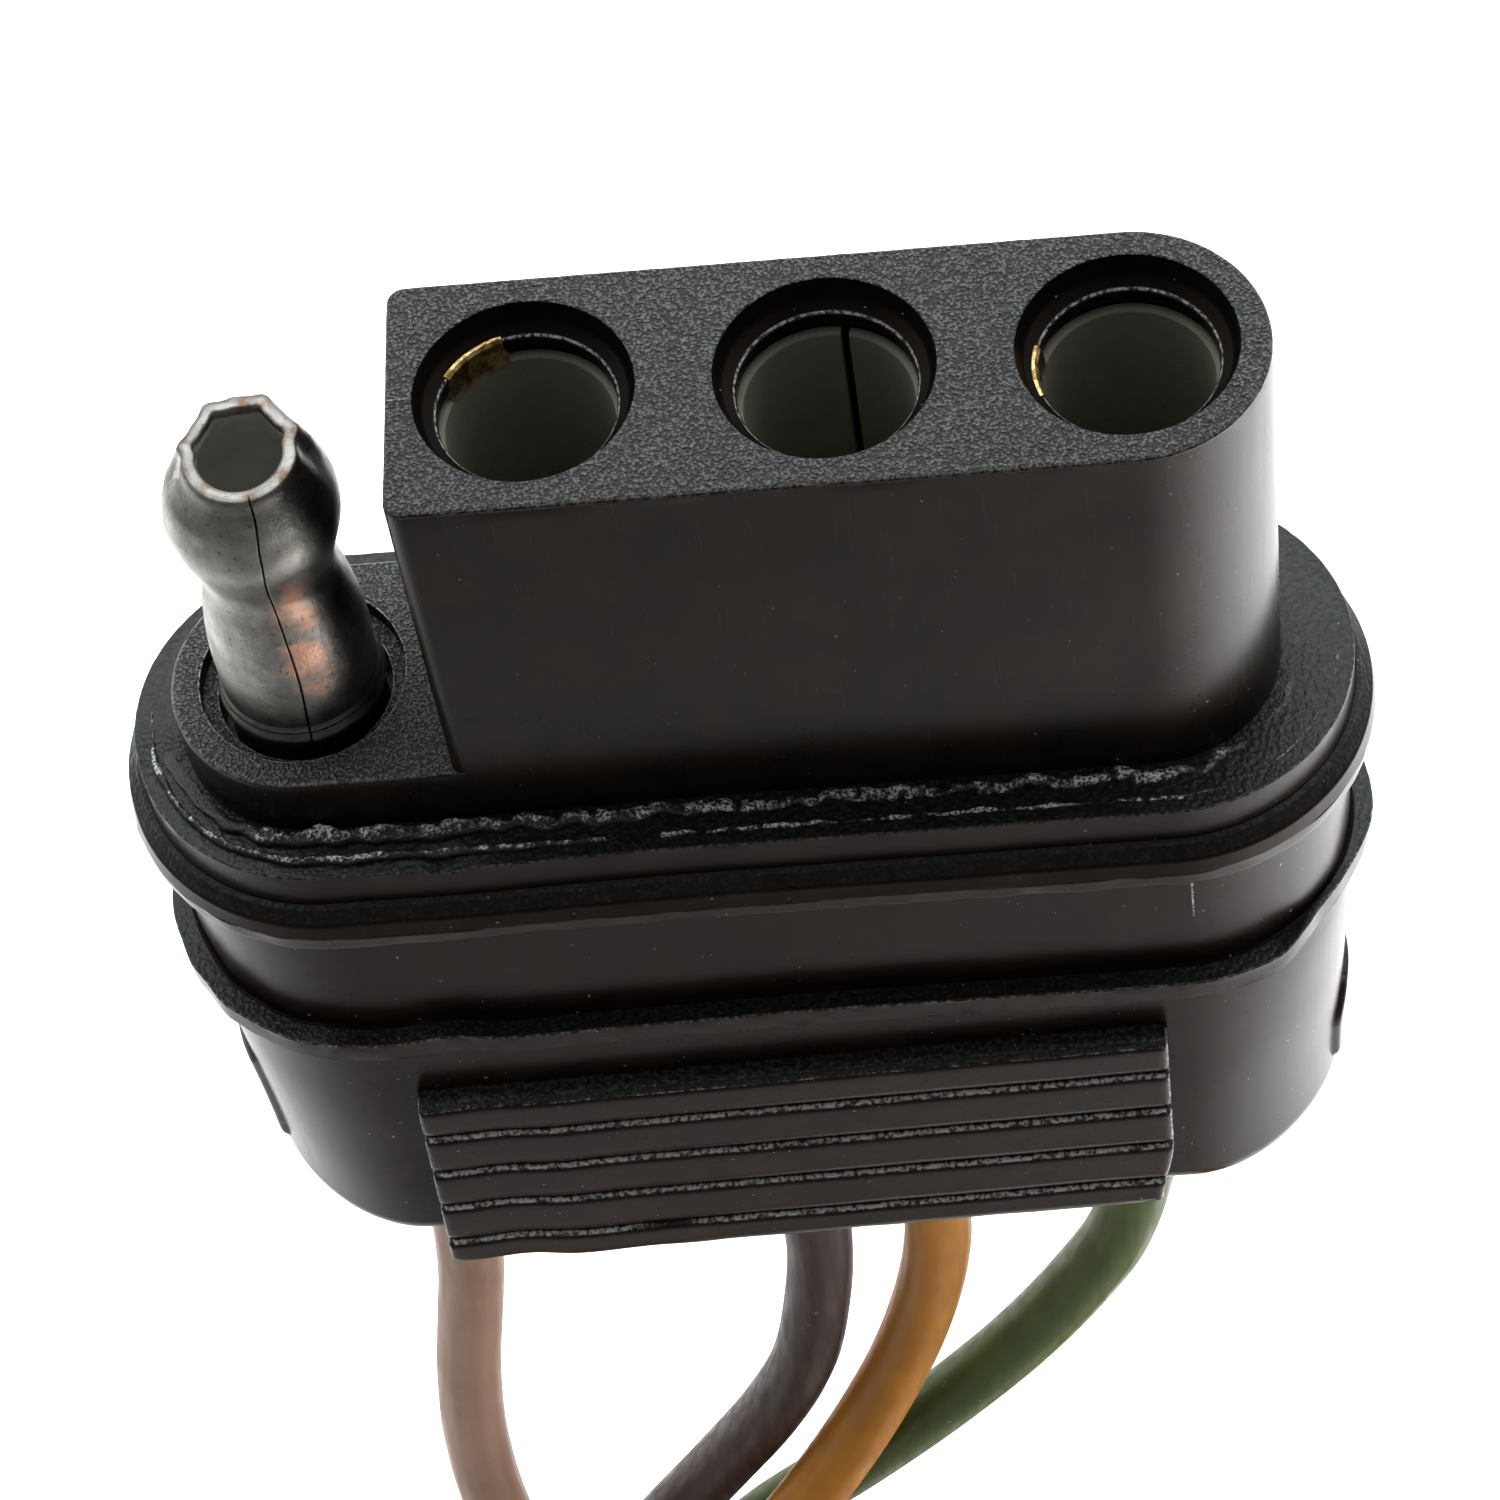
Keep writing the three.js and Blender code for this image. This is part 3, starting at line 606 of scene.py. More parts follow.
def stadium(span, x0, flat=0.2, arc=72, extra=()):
    """Columns round a stadium: the x of each column's centre and its outward direction."""
    right, left = x0 + span, x0 - span
    xs = sorted({*np.round(np.linspace(left, right, round(2 * span / flat) + 1), 5), *extra})
    turn = np.linspace(-math.pi / 2, math.pi / 2, arc + 1)
    columns = [(x, 0.0, -1.0) for x in xs[:-1]]
    columns += [(right, math.cos(a), math.sin(a)) for a in turn]
    columns += [(x, 0.0, 1.0) for x in xs[::-1][1:-1]]
    columns += [(left, -math.cos(a), -math.sin(a)) for a in turn]
    return np.array(columns)


def swept(columns, profile, shift):
    """Rows of points: each profile row goes round the columns at its offset and height, moved by shift."""
    rows = []
    for offset, z, wear_and_shading in profile:
        row = []
        for cx, nx, ny in columns:
            push, lift = shift(cx + nx * offset, ny * offset, z, wear_and_shading)
            row.append((cx + nx * (offset + push), ny * (offset + push), z + lift))
        rows.append(row)
    return rows, [w for _, _, w in profile]


# ---- Moulded jacket ----
CREST_X = (-17.5, -14.6, -13.7, -12.4, -11.3, -10.7, -10.1, -9.5,
           -8.9, -7.7, -6.0, -3.6, 1.1, 12.0, 16.0, 18.5)
CREST_Z = (0.0, -0.1, -0.15, -0.05, -0.2, -0.18, -0.08, 0.05,
           0.06, -0.2, -0.15, -0.03, 0.15, 0.15, 0.15, 0.0)


def crest_wave(x):
    """How far the lower rib's crest lifts along the front."""
    return sum(float(np.interp(x + d, CREST_X, CREST_Z)) for d in (-0.3, -0.1, 0.1, 0.3)) / 4


def jacket_shift(x, y, z, wear_and_shading):
    """Small waves of a soft moulding, a tapered body, and the rib's dips and dents."""
    edge = max(wear_and_shading, 0.0)
    front = ease(-y / 2.0)
    push = 0.020 * bumpy(x, y, z, 3.1, 1.7) + 0.045 * edge * bumpy(x, y, z, 0.45, 5.1)
    lift = 0.03 * edge * bumpy(x, y, z, 0.8, 9.4)
    round_end = ease((abs(x - JACKET_X) - JACKET_SPAN) / 5.0)
    if z > 2.0:
        lift -= 0.25 * front * ease(-x / 9.0)
    if z > 5.0:
        lift -= 0.22 * front * bell(x + 8.1, 0.45) * ease((abs(y) - 4.6) / 0.5)
    if -4.6 < z < -2.2:
        lift += front * crest_wave(x) * ease((z + 4.6) / 0.6) * ease((-2.2 - z) / 0.4)
        past = x - JACKET_X - JACKET_SPAN
        turn = math.degrees(math.atan2(y, past))
        rim = ease((math.hypot(past, y) - 5.35) / 0.5)
        if x > JACKET_X + JACKET_SPAN:
            push -= 0.40 * ease((turn + 62) / 22) * ease((2 - turn) / 30) * rim
            lift += 0.18 * ease((turn + 62) / 10) * ease((-20 - turn) / 20) * rim
        if x < -12.5:
            push += 0.10 * bumpy(x, y, 0, 1.2, 8.8) * front
    if z < -4.0:
        push -= (0.45 if x > 0 else 0.50) * round_end * ease((-3.0 - z) / 12.0)
    if 2.0 < z < 3.4:
        push += 0.05 * bumpy(x, y, z, 0.9, 2.9) * front
    return push, lift


def make_jacket():
    profile = rounded([
        (3.3, 5.70, 0), (RING_HALF, RING_Z, 0.06, 0.42), (RING_HALF, 4.50, 0.10), (5.66, 4.38, 0.2, 0.25),
        (6.00, 3.98, 0.30, 0.2), (6.08, 3.40, 0.35, 0.0), (6.02, 2.85, 0.30, 0.0), (5.80, 2.55, 0.08, 0.2),
        (GROOVE_HALF, 2.50, 0.12),
        (GROOVE_HALF, -2.82, 0.14), (6.02, -2.85, 0.07, 0.45), (6.00, -3.70, 0.05, 0.45),
        (BODY_HALF, -3.80, 0.12),
        (BODY_HALF, BODY_Z, BODY_FILLET, 0.0), (3.0, BODY_Z, 0)], step=0.4)
    shape = Shape()
    rows, wear_and_shading = swept(stadium(JACKET_SPAN, JACKET_X), profile, jacket_shift)
    shape.grid(rows, wear_and_shading)
    shape.close(rows[0])
    shape.close(rows[-1], flip=True)
    return shape.build("jacket_skin", JACKET, "jacket_pvc", ["overmould_jacket"])


def grip_profile():
    """Rows of (half depth, height, wear_and_shading value) down a grip pad's five shingled ridges: a painted
    highlight on each ledge's brow, and painted shade at the root of every ledge but the first and in the
    undercut at each ridge's foot.
    """
    rows = [(PAD_SHUT, GRIP_Z[0] + 0.05, 0.0), (BODY_HALF + 0.1, GRIP_Z[0] + 0.02, 0.35),
            (GRIP_HALF - 0.55, GRIP_Z[0] + 0.01, 0.3), (GRIP_HALF - 0.30, GRIP_Z[0], 0.35)]
    for k, (top, foot) in enumerate(zip(GRIP_Z, GRIP_Z[1:])):
        # Each ledge's brow gets this painted highlight, fainter on the first.
        lip = 0.3 if k == 0 else 0.85
        tall = top - foot
        rows += [(GRIP_HALF + out, top - down, wear_shade) for out, down, wear_shade in (
            (-0.25, 0.02, -0.7 if k else 0.4), (-0.20, 0.03, 0.2), (-0.14, 0.05, lip), (-0.08, 0.08, lip),
            (-0.035, 0.13, 0.5), (0.0, 0.20, -0.25), (0.01, 0.34, 0.0))]
        rows += [(GRIP_HALF + 0.01 - 0.02 * t, top - 0.34 - (tall - 0.94) * t, 0.0)
                 for t in (0.25, 0.5, 0.75, 1.0)]
        rows += [(GRIP_HALF + out, foot + up, wear_shade) for out, up, wear_shade in (
            (-0.03, 0.40, 0.0), (-0.08, 0.22, -0.3), (-0.17, 0.08, -0.9), (-0.24, 0.01, -1.0))]
    rows.append((PAD_SHUT, GRIP_Z[-1] - 0.02, 0.0))
    return rows


def make_grip(side):
    """One grip pad: a relief over the body's flat side, with its own side walls."""
    shape = Shape()
    inset = np.array((0.0, 0.03, 0.10, 0.22))
    middle = np.linspace(-GRIP_WIDTH + 0.4, GRIP_WIDTH - 0.4, PAD_COLUMNS)
    xs = np.concatenate((-GRIP_WIDTH + inset, middle, (GRIP_WIDTH - inset)[::-1]))
    drop = np.concatenate(((0.30, 0.10, 0.03, 0.0), np.zeros(PAD_COLUMNS), (0.0, 0.03, 0.10, 0.30)))
    lit = np.concatenate(((0.1, 0.8, 0.3, 0.0), np.zeros(PAD_COLUMNS), (0.0, 0.3, 0.8, 0.1)))
    rows, wear_and_shading = [], []
    for half, z, wear_shade in grip_profile():
        t = (GRIP_Z[0] - z) / (GRIP_Z[0] - GRIP_Z[-1])
        left, right = -0.35 * t + 0.30, -0.45 * ease((t - 0.6) / 0.4)
        row, line = [], []
        for x, down, bright in zip(xs, drop, lit):
            u = (x + GRIP_WIDTH) / (2 * GRIP_WIDTH)
            at = x + left * (1 - u) ** 6 + right * u ** 6
            swell = 0.20 * bell(x + 9.0, 1.1) - 0.10 * bell(x + 7.2, 1.3)
            high = z + 0.041 * (x - 5.2) + swell * (0.4 + 0.6 * t) + 0.04 * bumpy(x, 0, z, 2.6, 3.3)
            high += 0.02 * bumpy(x, z, 0, 0.7, 2.1) * (wear_shade > 0)
            if t > 0.97:
                high += 0.25 * (1 - u) ** 60 + 0.3 * u ** 40 + 0.08 * bumpy(x, 0, 0, 1.6, 6.6)
            out = half
            if half > BODY_HALF:
                out -= down + 0.02 * abs(bumpy(x, z, 0, 0.3, 4.2)) * (wear_shade > 0.5)
            edge = bright * (0.85 if wear_shade > -0.6 else 0.0)
            row.append((JACKET_X + at, side * out, high))
            faded = 1.0 - 0.9 * bell(x + 4.3, 0.7) if -14.9 < z < -14.4 else 1.0
            line.append(edge or wear_shade * (faded if wear_shade > 0 else 1.0))
        first = (row[0][0] - 0.02, side * PAD_SHUT, row[0][2])
        last = (row[-1][0] + 0.02, side * PAD_SHUT, row[-1][2])
        rows.append([first, *row, last])
        wear_and_shading.append([0.0] + line + [0.0])
    shape.grid(rows, np.array(wear_and_shading), closed=False, flip=side > 0)
    name = "grip_pad_front" if side < 0 else "grip_pad_back"
    return shape.build(name, JACKET, "jacket_pvc", sharp=50)


def box_shape(shape, centre, size, radius, wave=0.0):
    """A block with rounded edges, each face split finely enough to carry small waves."""
    counts = [max(3, round(s / 0.25)) for s in size]
    half = np.array(size) / 2 - radius
    for axis in range(3):
        u, v = (axis + 1) % 3, (axis + 2) % 3
        for sign in (-1, 1):
            rows, wear_and_shading = [], []
            for i in range(counts[u] + 1):
                row, wear_shade = [], []
                for j in range(counts[v] + 1):
                    p = np.zeros(3)
                    p[axis] = sign * size[axis] / 2
                    p[u] = (i / counts[u] - 0.5) * size[u]
                    p[v] = (j / counts[v] - 0.5) * size[v]
                    core = np.clip(p, -half, half)
                    way = p - core
                    p = core + way / max(np.linalg.norm(way), 1e-9) * radius
                    q = p + np.array(centre)
                    q = q + wave * bumpy(*q, 0.6, 4.4)
                    row.append(q)
                    wear_shade.append(min(1.0, max(0.0, (np.abs(way) > 0.3 * radius).sum() - 1.0)))
                rows.append(row)
                wear_and_shading.append(wear_shade)
            shape.grid(rows, np.array(wear_and_shading), closed=False, flip=sign > 0)


def make_end_tab(side):
    """A thin raised pad that follows the curve of a round end and tapers away at its foot."""
    shape = Shape()
    high, low, wide = (-11.0, -14.7, 24.0) if side > 0 else (-9.3, -14.6, 29.0)
    centre = JACKET_X + side * JACKET_SPAN
    rows = []
    for v in np.linspace(0, 1, 40):
        z = high + (low - high) * v
        row = []
        reach = wide * (0.55 + 0.45 * ease(v / 0.5)) if side > 0 else wide
        for u in np.linspace(-1, 1, 61):
            turn = math.radians(u * reach)
            inside = min((1 - abs(u)) * reach / wide * 2.2, 4.0 * v + 0.02, 4.5 * (1 - v))
            proud = 0.24 * ease(inside / 0.3) - 0.05
            nx, ny = side * math.cos(turn), math.sin(turn)
            push, lift = jacket_shift(centre + nx * BODY_HALF, ny * BODY_HALF, z, 0.0)
            out = BODY_HALF + push + proud
            row.append((centre + nx * out, ny * out, z + lift))
        rows.append(row)
    shape.grid(rows, closed=False, flip=side < 0)

    # Its sides run a little way into the jacket and close on one point there.
    loop = rows[0][1:-1] + [row[-1] for row in rows] + rows[-1][1:-1][::-1] + [row[0] for row in rows[::-1]]
    inner = [(centre + (p[0] - JACKET_X - side * JACKET_SPAN) * 0.93, p[1] * 0.93, p[2]) for p in loop]
    shape.grid([loop, inner], flip=side > 0)
    base = len(shape.points)
    shape.points.append([JACKET_X + side * (JACKET_SPAN + BODY_HALF * 0.85), 0.0, (high + low) / 2])
    shape.wear_and_shading.append(0.0)
    ring = base - len(inner)
    for k in range(len(inner)):
        face = [ring + k, ring + (k + 1) % len(inner), base]
        shape.faces.append(face if side < 0 else face[::-1])
    return shape.build("end_tab_" + ("left" if side < 0 else "right"), JACKET, "jacket_pvc", sharp=60)


# ---- Socket insert ----
def hole(shape, x, profile):
    """The walls of a round hole: profile is its rounded rows of radius, height and wear_and_shading value.
    """
    a = np.arange(HOLE_SIDES) * 2 * math.pi / HOLE_SIDES
    rows = [[(x + r * math.cos(t), r * math.sin(t), z) for t in a] for r, z, _ in profile]
    # The solid is on the outer side of a hole's profile, so edges and corners trade signs, and with them
    # pale edges and painted corner shade. Faint values are dropped, because they showed as dark arcs of
    # painted shade beside the well.
    shape.grid(rows, [-w if abs(w) > 0.31 else 0.0 for _, _, w in profile])
    return rows


def lip_shading(r, z):
    """A socket's mouth is smooth below the mating face and darkened there with painted shade, with a painted
    highlight, a bright line, round its inner lip.
    """
    if z > MATING_Z - 0.05:
        return 0.0
    if r > LIP_R + 0.075 and z > LIP_Z + 0.1:
        return 0.6
    if r > LIP_R - 0.01 and COUNTERBORE_Z - 0.07 < z:
        return -0.8
    return 0.0


def make_insert():
    shape = Shape()
    split = BLOCK_LEFT_X + BLOCK_CORNER_R
    columns = stadium(TERMINAL_X[3], 0.0, extra=(round(split, 5),))
    is_shelf = columns[:, 0] < split - 1e-6

    # The foot that both the block and the shelf stand on, its rim rounded over on the shelf's side.
    rim = [(FOOT_Z, 0.0), (6.4, 0.0), (SHELF_Z - 0.25, 0.0)]
    rim += [(SHELF_Z - 0.2 + 0.2 * math.sin(t), 1 - math.cos(t)) for t in np.linspace(0, math.pi / 2, 6)]
    rows, wear_and_shading = [], []
    for z, turn in rim:
        row, wear_shade = [], []
        for (cx, nx, ny), shelf in zip(columns, is_shelf):
            away = ease((split - 0.4 - cx - nx) / 0.9) if shelf else 0.0
            o = BLOCK_HALF - 0.2 * turn * away
            row.append((cx + nx * o, ny * o, z))
            # The rounded rim carries a value for pale scuffs and a painted highlight.
            wear_shade.append(0.5 * away * math.sin(math.pi * turn) if 0 < turn < 1 else 0.0)
        rows.append(row)
        wear_and_shading.append(wear_shade)
    shape.grid(rows[::-1], np.array(wear_and_shading[::-1]))
    shape.fill([rows[0]], FOOT_Z, flip=True)
    top_row = np.array(rows[-1])

    # The block's outline: the foot's own columns from the split round the right end, then its flat left end.
    order = list(range(len(columns)))
    front = [k for k in order if columns[k][2] <= 0 and not is_shelf[k] and columns[k][1] <= 1e-9]
    keep = [k for k in order if not is_shelf[k]]
    start = keep.index(front[0])
    keep = keep[start:] + keep[:start]
    outline = [(columns[k][0] + columns[k][1] * BLOCK_HALF, columns[k][2] * BLOCK_HALF,
                columns[k][1], columns[k][2]) for k in keep]
    left, corner = BLOCK_LEFT_X, BLOCK_CORNER_R

    def corner_arc(angles, y):
        return [(left + corner + corner * math.cos(a), y + corner * math.sin(a), math.cos(a), math.sin(a))
                for a in angles]

    outline += corner_arc(np.linspace(math.pi / 2, math.pi, 9)[1:], BLOCK_HALF - corner)
    outline += [(left, y, -1.0, 0.0) for y in np.linspace(BLOCK_HALF - corner, corner - BLOCK_HALF, 30)[1:]]
    outline += corner_arc(np.linspace(math.pi, 1.5 * math.pi, 9)[1:-1], corner - BLOCK_HALF)
    profile = rounded([(-0.42, MATING_Z, 0), (0.0, MATING_Z, 0.14, 0.4), (0.0, SHELF_Z, 0)], step=0.5)
    rows = []
    for o, z, wear_shade in profile:
        wave = ease((z - SHELF_Z) / 1.5) * (0.015 if wear_shade == 0 else 0.0)
        row = []
        for x, y, nx, ny in outline:
            d = o + wave * bumpy(x, y, z, 3.5, 7.7) + 0.03 * max(wear_shade, 0.0) * bumpy(x, y, z, 0.3, 3.9)
            row.append((x + nx * d, y + ny * d, z))
        rows.append(row)
    shape.grid(rows, [w for _, _, w in profile])

    # The mating face with its three counterbores, then each socket's walls.
    loops = [rows[0]]
    for x in TERMINAL_X[1:]:
        walls = rounded([
            (COUNTERBORE_R + 0.12, MATING_Z, 0), (COUNTERBORE_R, MATING_Z, 0.05, 0.2),
            (COUNTERBORE_R - 0.16, COUNTERBORE_Z + 0.22, 0.3), (LIP_R + 0.06, COUNTERBORE_Z, 0.05, 0.0),
            (LIP_R, COUNTERBORE_Z - 0.12, 0.04, 0.0), (LIP_R, LIP_Z, 0.05, 0),
            (CAVITY_R, LIP_Z, 0.05), (CAVITY_R, CAVITY_Z, 0.1), (0.6, CAVITY_Z, 0)], step=0.25)
        wall_rows = hole(shape, x, [(r, z, lip_shading(r, z)) for r, z, _ in walls])
        loops.append(wall_rows[0])
        shape.fill([wall_rows[-1]], CAVITY_Z)
    shape.fill(loops, MATING_Z)

    # The shelf, with the recess that the bullet stands in.
    recess = rounded([
        (RECESS_R + 0.2, SHELF_Z, 0), (RECESS_R, SHELF_Z, 0.05, 0.5), (RECESS_R, RECESS_Z, 0.08),
        (WELL_R, RECESS_Z, 0.05), (WELL_R, WELL_Z, 0)], step=0.4)
    recess_rows = hole(shape, BULLET_X, recess)
    shape.fill([recess_rows[-1]], WELL_Z)
    shelf_loop = [k for k in order if is_shelf[k]]
    first = next(i for i, k in enumerate(shelf_loop) if columns[k][2] > 0)
    ring = [tuple(top_row[k][:2]) for k in shelf_loop[first:] + shelf_loop[:first]]
    ends = [(p[0], p[1]) for p in outline[len(keep):]]
    front_corner, back_corner = outline[0][:2], outline[len(keep) - 1][:2]
    loop = [back_corner, *ring, front_corner, *ends[::-1]]
    shape.fill([loop, recess_rows[0]], SHELF_Z)
    return shape.build("insert_skin", INSERT, "insert_pvc", ["socket_insert"])


def make_mould_line(name, centre, size, material, slot):
    """A thin raised line that the mould's parting left."""
    shape = Shape()
    box_shape(shape, centre, size, radius=0.012)
    # Painted highlight: the whole line carries a high value, so it shows pale.
    shape.wear_and_shading = [0.75] * len(shape.wear_and_shading)
    return shape.build(name, material, slot)


# ---- Ragged mould flash ----
def flash_strip(name, columns, offset, z, width, height, seed, amount):
    """A crumpled ridge of torn plastic that lies along an edge. Amount(x, y) is how much of it stands up."""
    steps = np.linspace(-0.5, 0.5, 13)
    rows, wear_and_shading = [[] for _ in steps], [[] for _ in steps]
    for cx, nx, ny in columns:
        x, y = cx + nx * offset, ny * offset
        much = amount(x, y) * max(0.0, 0.75 + 0.9 * bumpy(x, y, 0, 1.1, seed + 8))
        drift = 0.35 * width * bumpy(x, y, 0, 0.8, seed + 5)
        wide = width * (0.55 + 0.45 * min(1.0, much))
        for row, line, t in zip(rows, wear_and_shading, steps):
            d = offset + wide * t + drift
            px, py = cx + nx * d, ny * d
            crumple = 0.55 + 0.9 * bumpy(px, py, 0, 0.34, seed) + 0.5 * bumpy(px, py, 0, 0.13, seed + 3)
            shape = math.cos(math.pi * t) ** 0.7 if abs(t) < 0.499 else 0.0
            tall = height * much * shape * max(0.0, crumple)
            row.append((px, py, z - 0.10 + tall + 0.10 * min(1.0, 4 * much) * shape))
            line.append(min(1.0, 1.5 * tall / height))
    shape = Shape()
    under = [(p[0], p[1], z - 0.2) for p in rows[-1]], [(p[0], p[1], z - 0.2) for p in rows[0]]
    flat = [0.0] * len(columns)
    shape.grid([*rows, *under, rows[0]], np.array([*wear_and_shading, flat, flat, wear_and_shading[0]]), flip=True)
    return shape.build(name, TORN, "jacket_pvc", sharp=80)


def around_front(y):
    return ease((1.2 - y) / 2.0)


def fold_amount(x, y):
    return around_front(y) * (1.0 if x < 13 else 0.35) * (0.15 if -3.5 < x < -2.0 else 1.0)


def seam_amount(x, y):
    return around_front(y) * ease((x + 15.0) / 1.6) * (0.35 + 0.65 * ease((14.5 - x) / 2.0))


# ---- Bullet ----
def make_bullet():
    outer = [(1.46, 18.44), (1.58, 18.40), (1.74, 18.0), (1.97, 17.5), (2.20, 17.0), (2.40, 16.2),
             (2.38, 15.5), (2.17, 14.7), (1.96, 14.0), (1.88, 13.5), (1.91, 13.0), (2.02, 12.4),
             (2.13, 11.65), (2.22, 10.9), (2.26, 10.1), (2.26, 9.3), (2.25, 8.6), (2.24, 8.3)]
    skirt = [(2.24, 8.3), (2.32, 8.22), (2.32, 8.1), (2.24, 8.0), (2.38, 7.85), (2.38, 7.7), (2.28, 7.6),
             (2.28, 5.4)]
    inner = [(1.46, 18.44), (1.24, 18.42), (1.19, 18.34), (1.22, 18.0), (1.5, 17.3), (1.85, 16.4),
             (1.90, 15.6), (1.6, 14.4), (1.42, 13.4), (1.6, 12.3), (1.8, 11.0), (1.85, 9.0)]
    shape = Shape()
    corners = np.radians([122, 68, 20, 171])

    def seam_at(z):
        return math.radians(SEAM_TURN + 1.6 * math.sin((z - 9.0) * 0.9))

    def point(r, z, a, inside):
        tip = ease((z - 16.6) / 1.4)
        oval = 1 + tip * 0.09 * math.sin(a) ** 2
        back = ease((math.sin(a) + 0.25) / 0.3)
        facet = 0.0
        for c in corners:
            facet += bell(turn_between(a, c), 0.16)
        r = r * oval * (1 + tip * back * (0.10 * facet - 0.05))
        d = turn_between(a, seam_at(z)) * r
        if not inside:
            r -= 0.10 * bell(d, 0.022)
            r += 0.03 * ease(d / 0.06 + 0.5) - 0.015
            r += 0.05 * math.exp(-((d + 0.15) / 0.25) ** 2 - ((z - 12.0) / 0.10) ** 2)
            r += 0.022 * bumpy(math.cos(a) * 2, math.sin(a) * 2, z, 1.5, 6.1)
        tilt = 0.13 * math.sin(a) * tip
        return (BULLET_X + r * math.cos(a) + 0.10 * tip, r * math.sin(a), z + tilt)

    def fine(profile, n):
        pts = smooth_line([(r, z, 0) for r, z in profile], n)
        return [(p[0], p[1]) for p in pts]

    angles = sorted({*np.linspace(-math.pi, math.pi, BULLET_SIDES, endpoint=False),
                     *(math.radians(SEAM_TURN) + np.linspace(-0.09, 0.09, 61))})
    outside = fine(outer, 6) + fine(skirt, 4)[1:]
    rows, wear_and_shading = [], []
    for r, z in outside:
        rows.append([point(r, z, a, False) for a in angles])
        line = []
        for a in angles:
            d = turn_between(a, seam_at(z)) * r
            wear_shade = -1.0 * bell(d, 0.028)
            wear_shade += 1.2 * math.exp(-((d + 0.16) / 0.2) ** 2 - ((z - 12.0) / 0.07) ** 2)
            wear_shade += 0.9 * ease((z - 18.3) / 0.08) + 0.35 * (7.7 < z < 7.9) + 0.3 * (8.05 < z < 8.25)
            line.append(wear_shade)
        wear_and_shading.append(line)
    shape.grid(rows, np.array(wear_and_shading))
    shape.close(rows[-1], flip=True)
    inside = fine(inner, 4)
    rows = [[point(r, z, a, True) for a in angles] for r, z in inside]
    rows[0] = [point(outer[0][0], outer[0][1], a, False) for a in angles]
    # The mouth's walls carry high values, painted light inside the mouth.
    shape.grid(rows, [0.9 if z > 18.25 else 0.55 for _, z in inside], flip=True)
    # Its floor carries -0.5: painted shade at the bottom of the bore.
    shape.fill([rows[-1]], inside[-1][1], wear_and_shading=-0.5)
    bullet = shape.build("bullet_skin", PLATE, "tin_plate", ["bullet_terminal"])

    # The plate shows copper in a band beside the seam, where rubbing bared it. Below zero marks the inside
    # of the mouth, which is painted light.
    heights, radii = [-z for _, z in outer], [r for r, _ in outer]
    rubbed_and_lit_mouth = bullet.data.attributes.new("rubbed_and_lit_mouth", "FLOAT", "POINT")
    for place, vertex in zip(rubbed_and_lit_mouth.data, bullet.data.vertices):
        x, y, z = vertex.co / MM
        turn = math.degrees(math.atan2(y, x - BULLET_X))
        place.value = bell(turn + 68, 34) * ease((16.0 - z) / 1.5) * ease((z - 8.2) / 2.0)
        if z > 9.5 and math.hypot(x - BULLET_X, y) < 0.93 * np.interp(-z, heights, radii):
            place.value = -ease((18.42 - z) / 0.25)
    return bullet


# ---- Socket contacts ----
def make_contact(name, x, slit, glint_arcs):
    """A rolled sleeve with a slit. The glint_arcs are (from, to) azimuths where its rim shows bright, a
    painted brass glint.
    """
    inner, outer, top, bottom = 2.29, 2.58, 18.45, 8.4
    gap = math.radians(3)
    angles = math.radians(slit) + np.linspace(gap, 2 * math.pi - gap, 120)
    profile = [(outer, bottom), (outer, 14.0), (outer, top - 0.1), (outer - 0.05, top), (inner + 0.08, top),
               (inner, top - 0.08), (inner, top - 0.3), (inner, top - 0.6), (inner, 15.5), (inner, 12.0),
               (inner, bottom), (outer, bottom)]
    rows, wear_and_shading = [], []
    for r, z in profile:
        row, wear_shade = [], []
        for a in angles:
            bright = 0.0
            for low, high in glint_arcs:
                d = (math.degrees(a) - low) % 360
                if d < (high - low) % 360 and z > top - 0.35:
                    bright = 1.0
            lean = 0.08 * bright
            row.append((x + (r + lean) * math.cos(a), (r + lean) * math.sin(a), z + 0.80 * bright))
            wear_shade.append(bright)
        rows.append(row)
        wear_and_shading.append(wear_shade)
    shape = Shape()
    shape.grid(rows[::-1], np.array(wear_and_shading[::-1]), closed=False)
    for edge in (0, -1):
        shape.cap([row[edge] for row in rows[:-1]], flip=edge != 0)
    return shape.build("contact_sleeve_" + name, BRASS, "contact_brass", ["socket_contact_" + name])


# ---- Stripped ends and tie ----
def tube_rows(line, radius, sides):
    """Rings of points along a line."""
    line = [np.asarray(p, float) for p in line]
    rows = []
    side = None
    for k, p in enumerate(line):
        way = line[min(k + 1, len(line) - 1)] - line[max(k - 1, 0)]
        way /= np.linalg.norm(way)
        if side is None:
            side = np.cross(way, (0.3, 0.2, 1.0))
        side = side - way * (side @ way)
        side /= np.linalg.norm(side)
        other = np.cross(way, side)
        rows.append([p + radius * (side * math.cos(a) + other * math.sin(a))
                     for a in np.arange(sides) * 2 * math.pi / sides])
    return rows


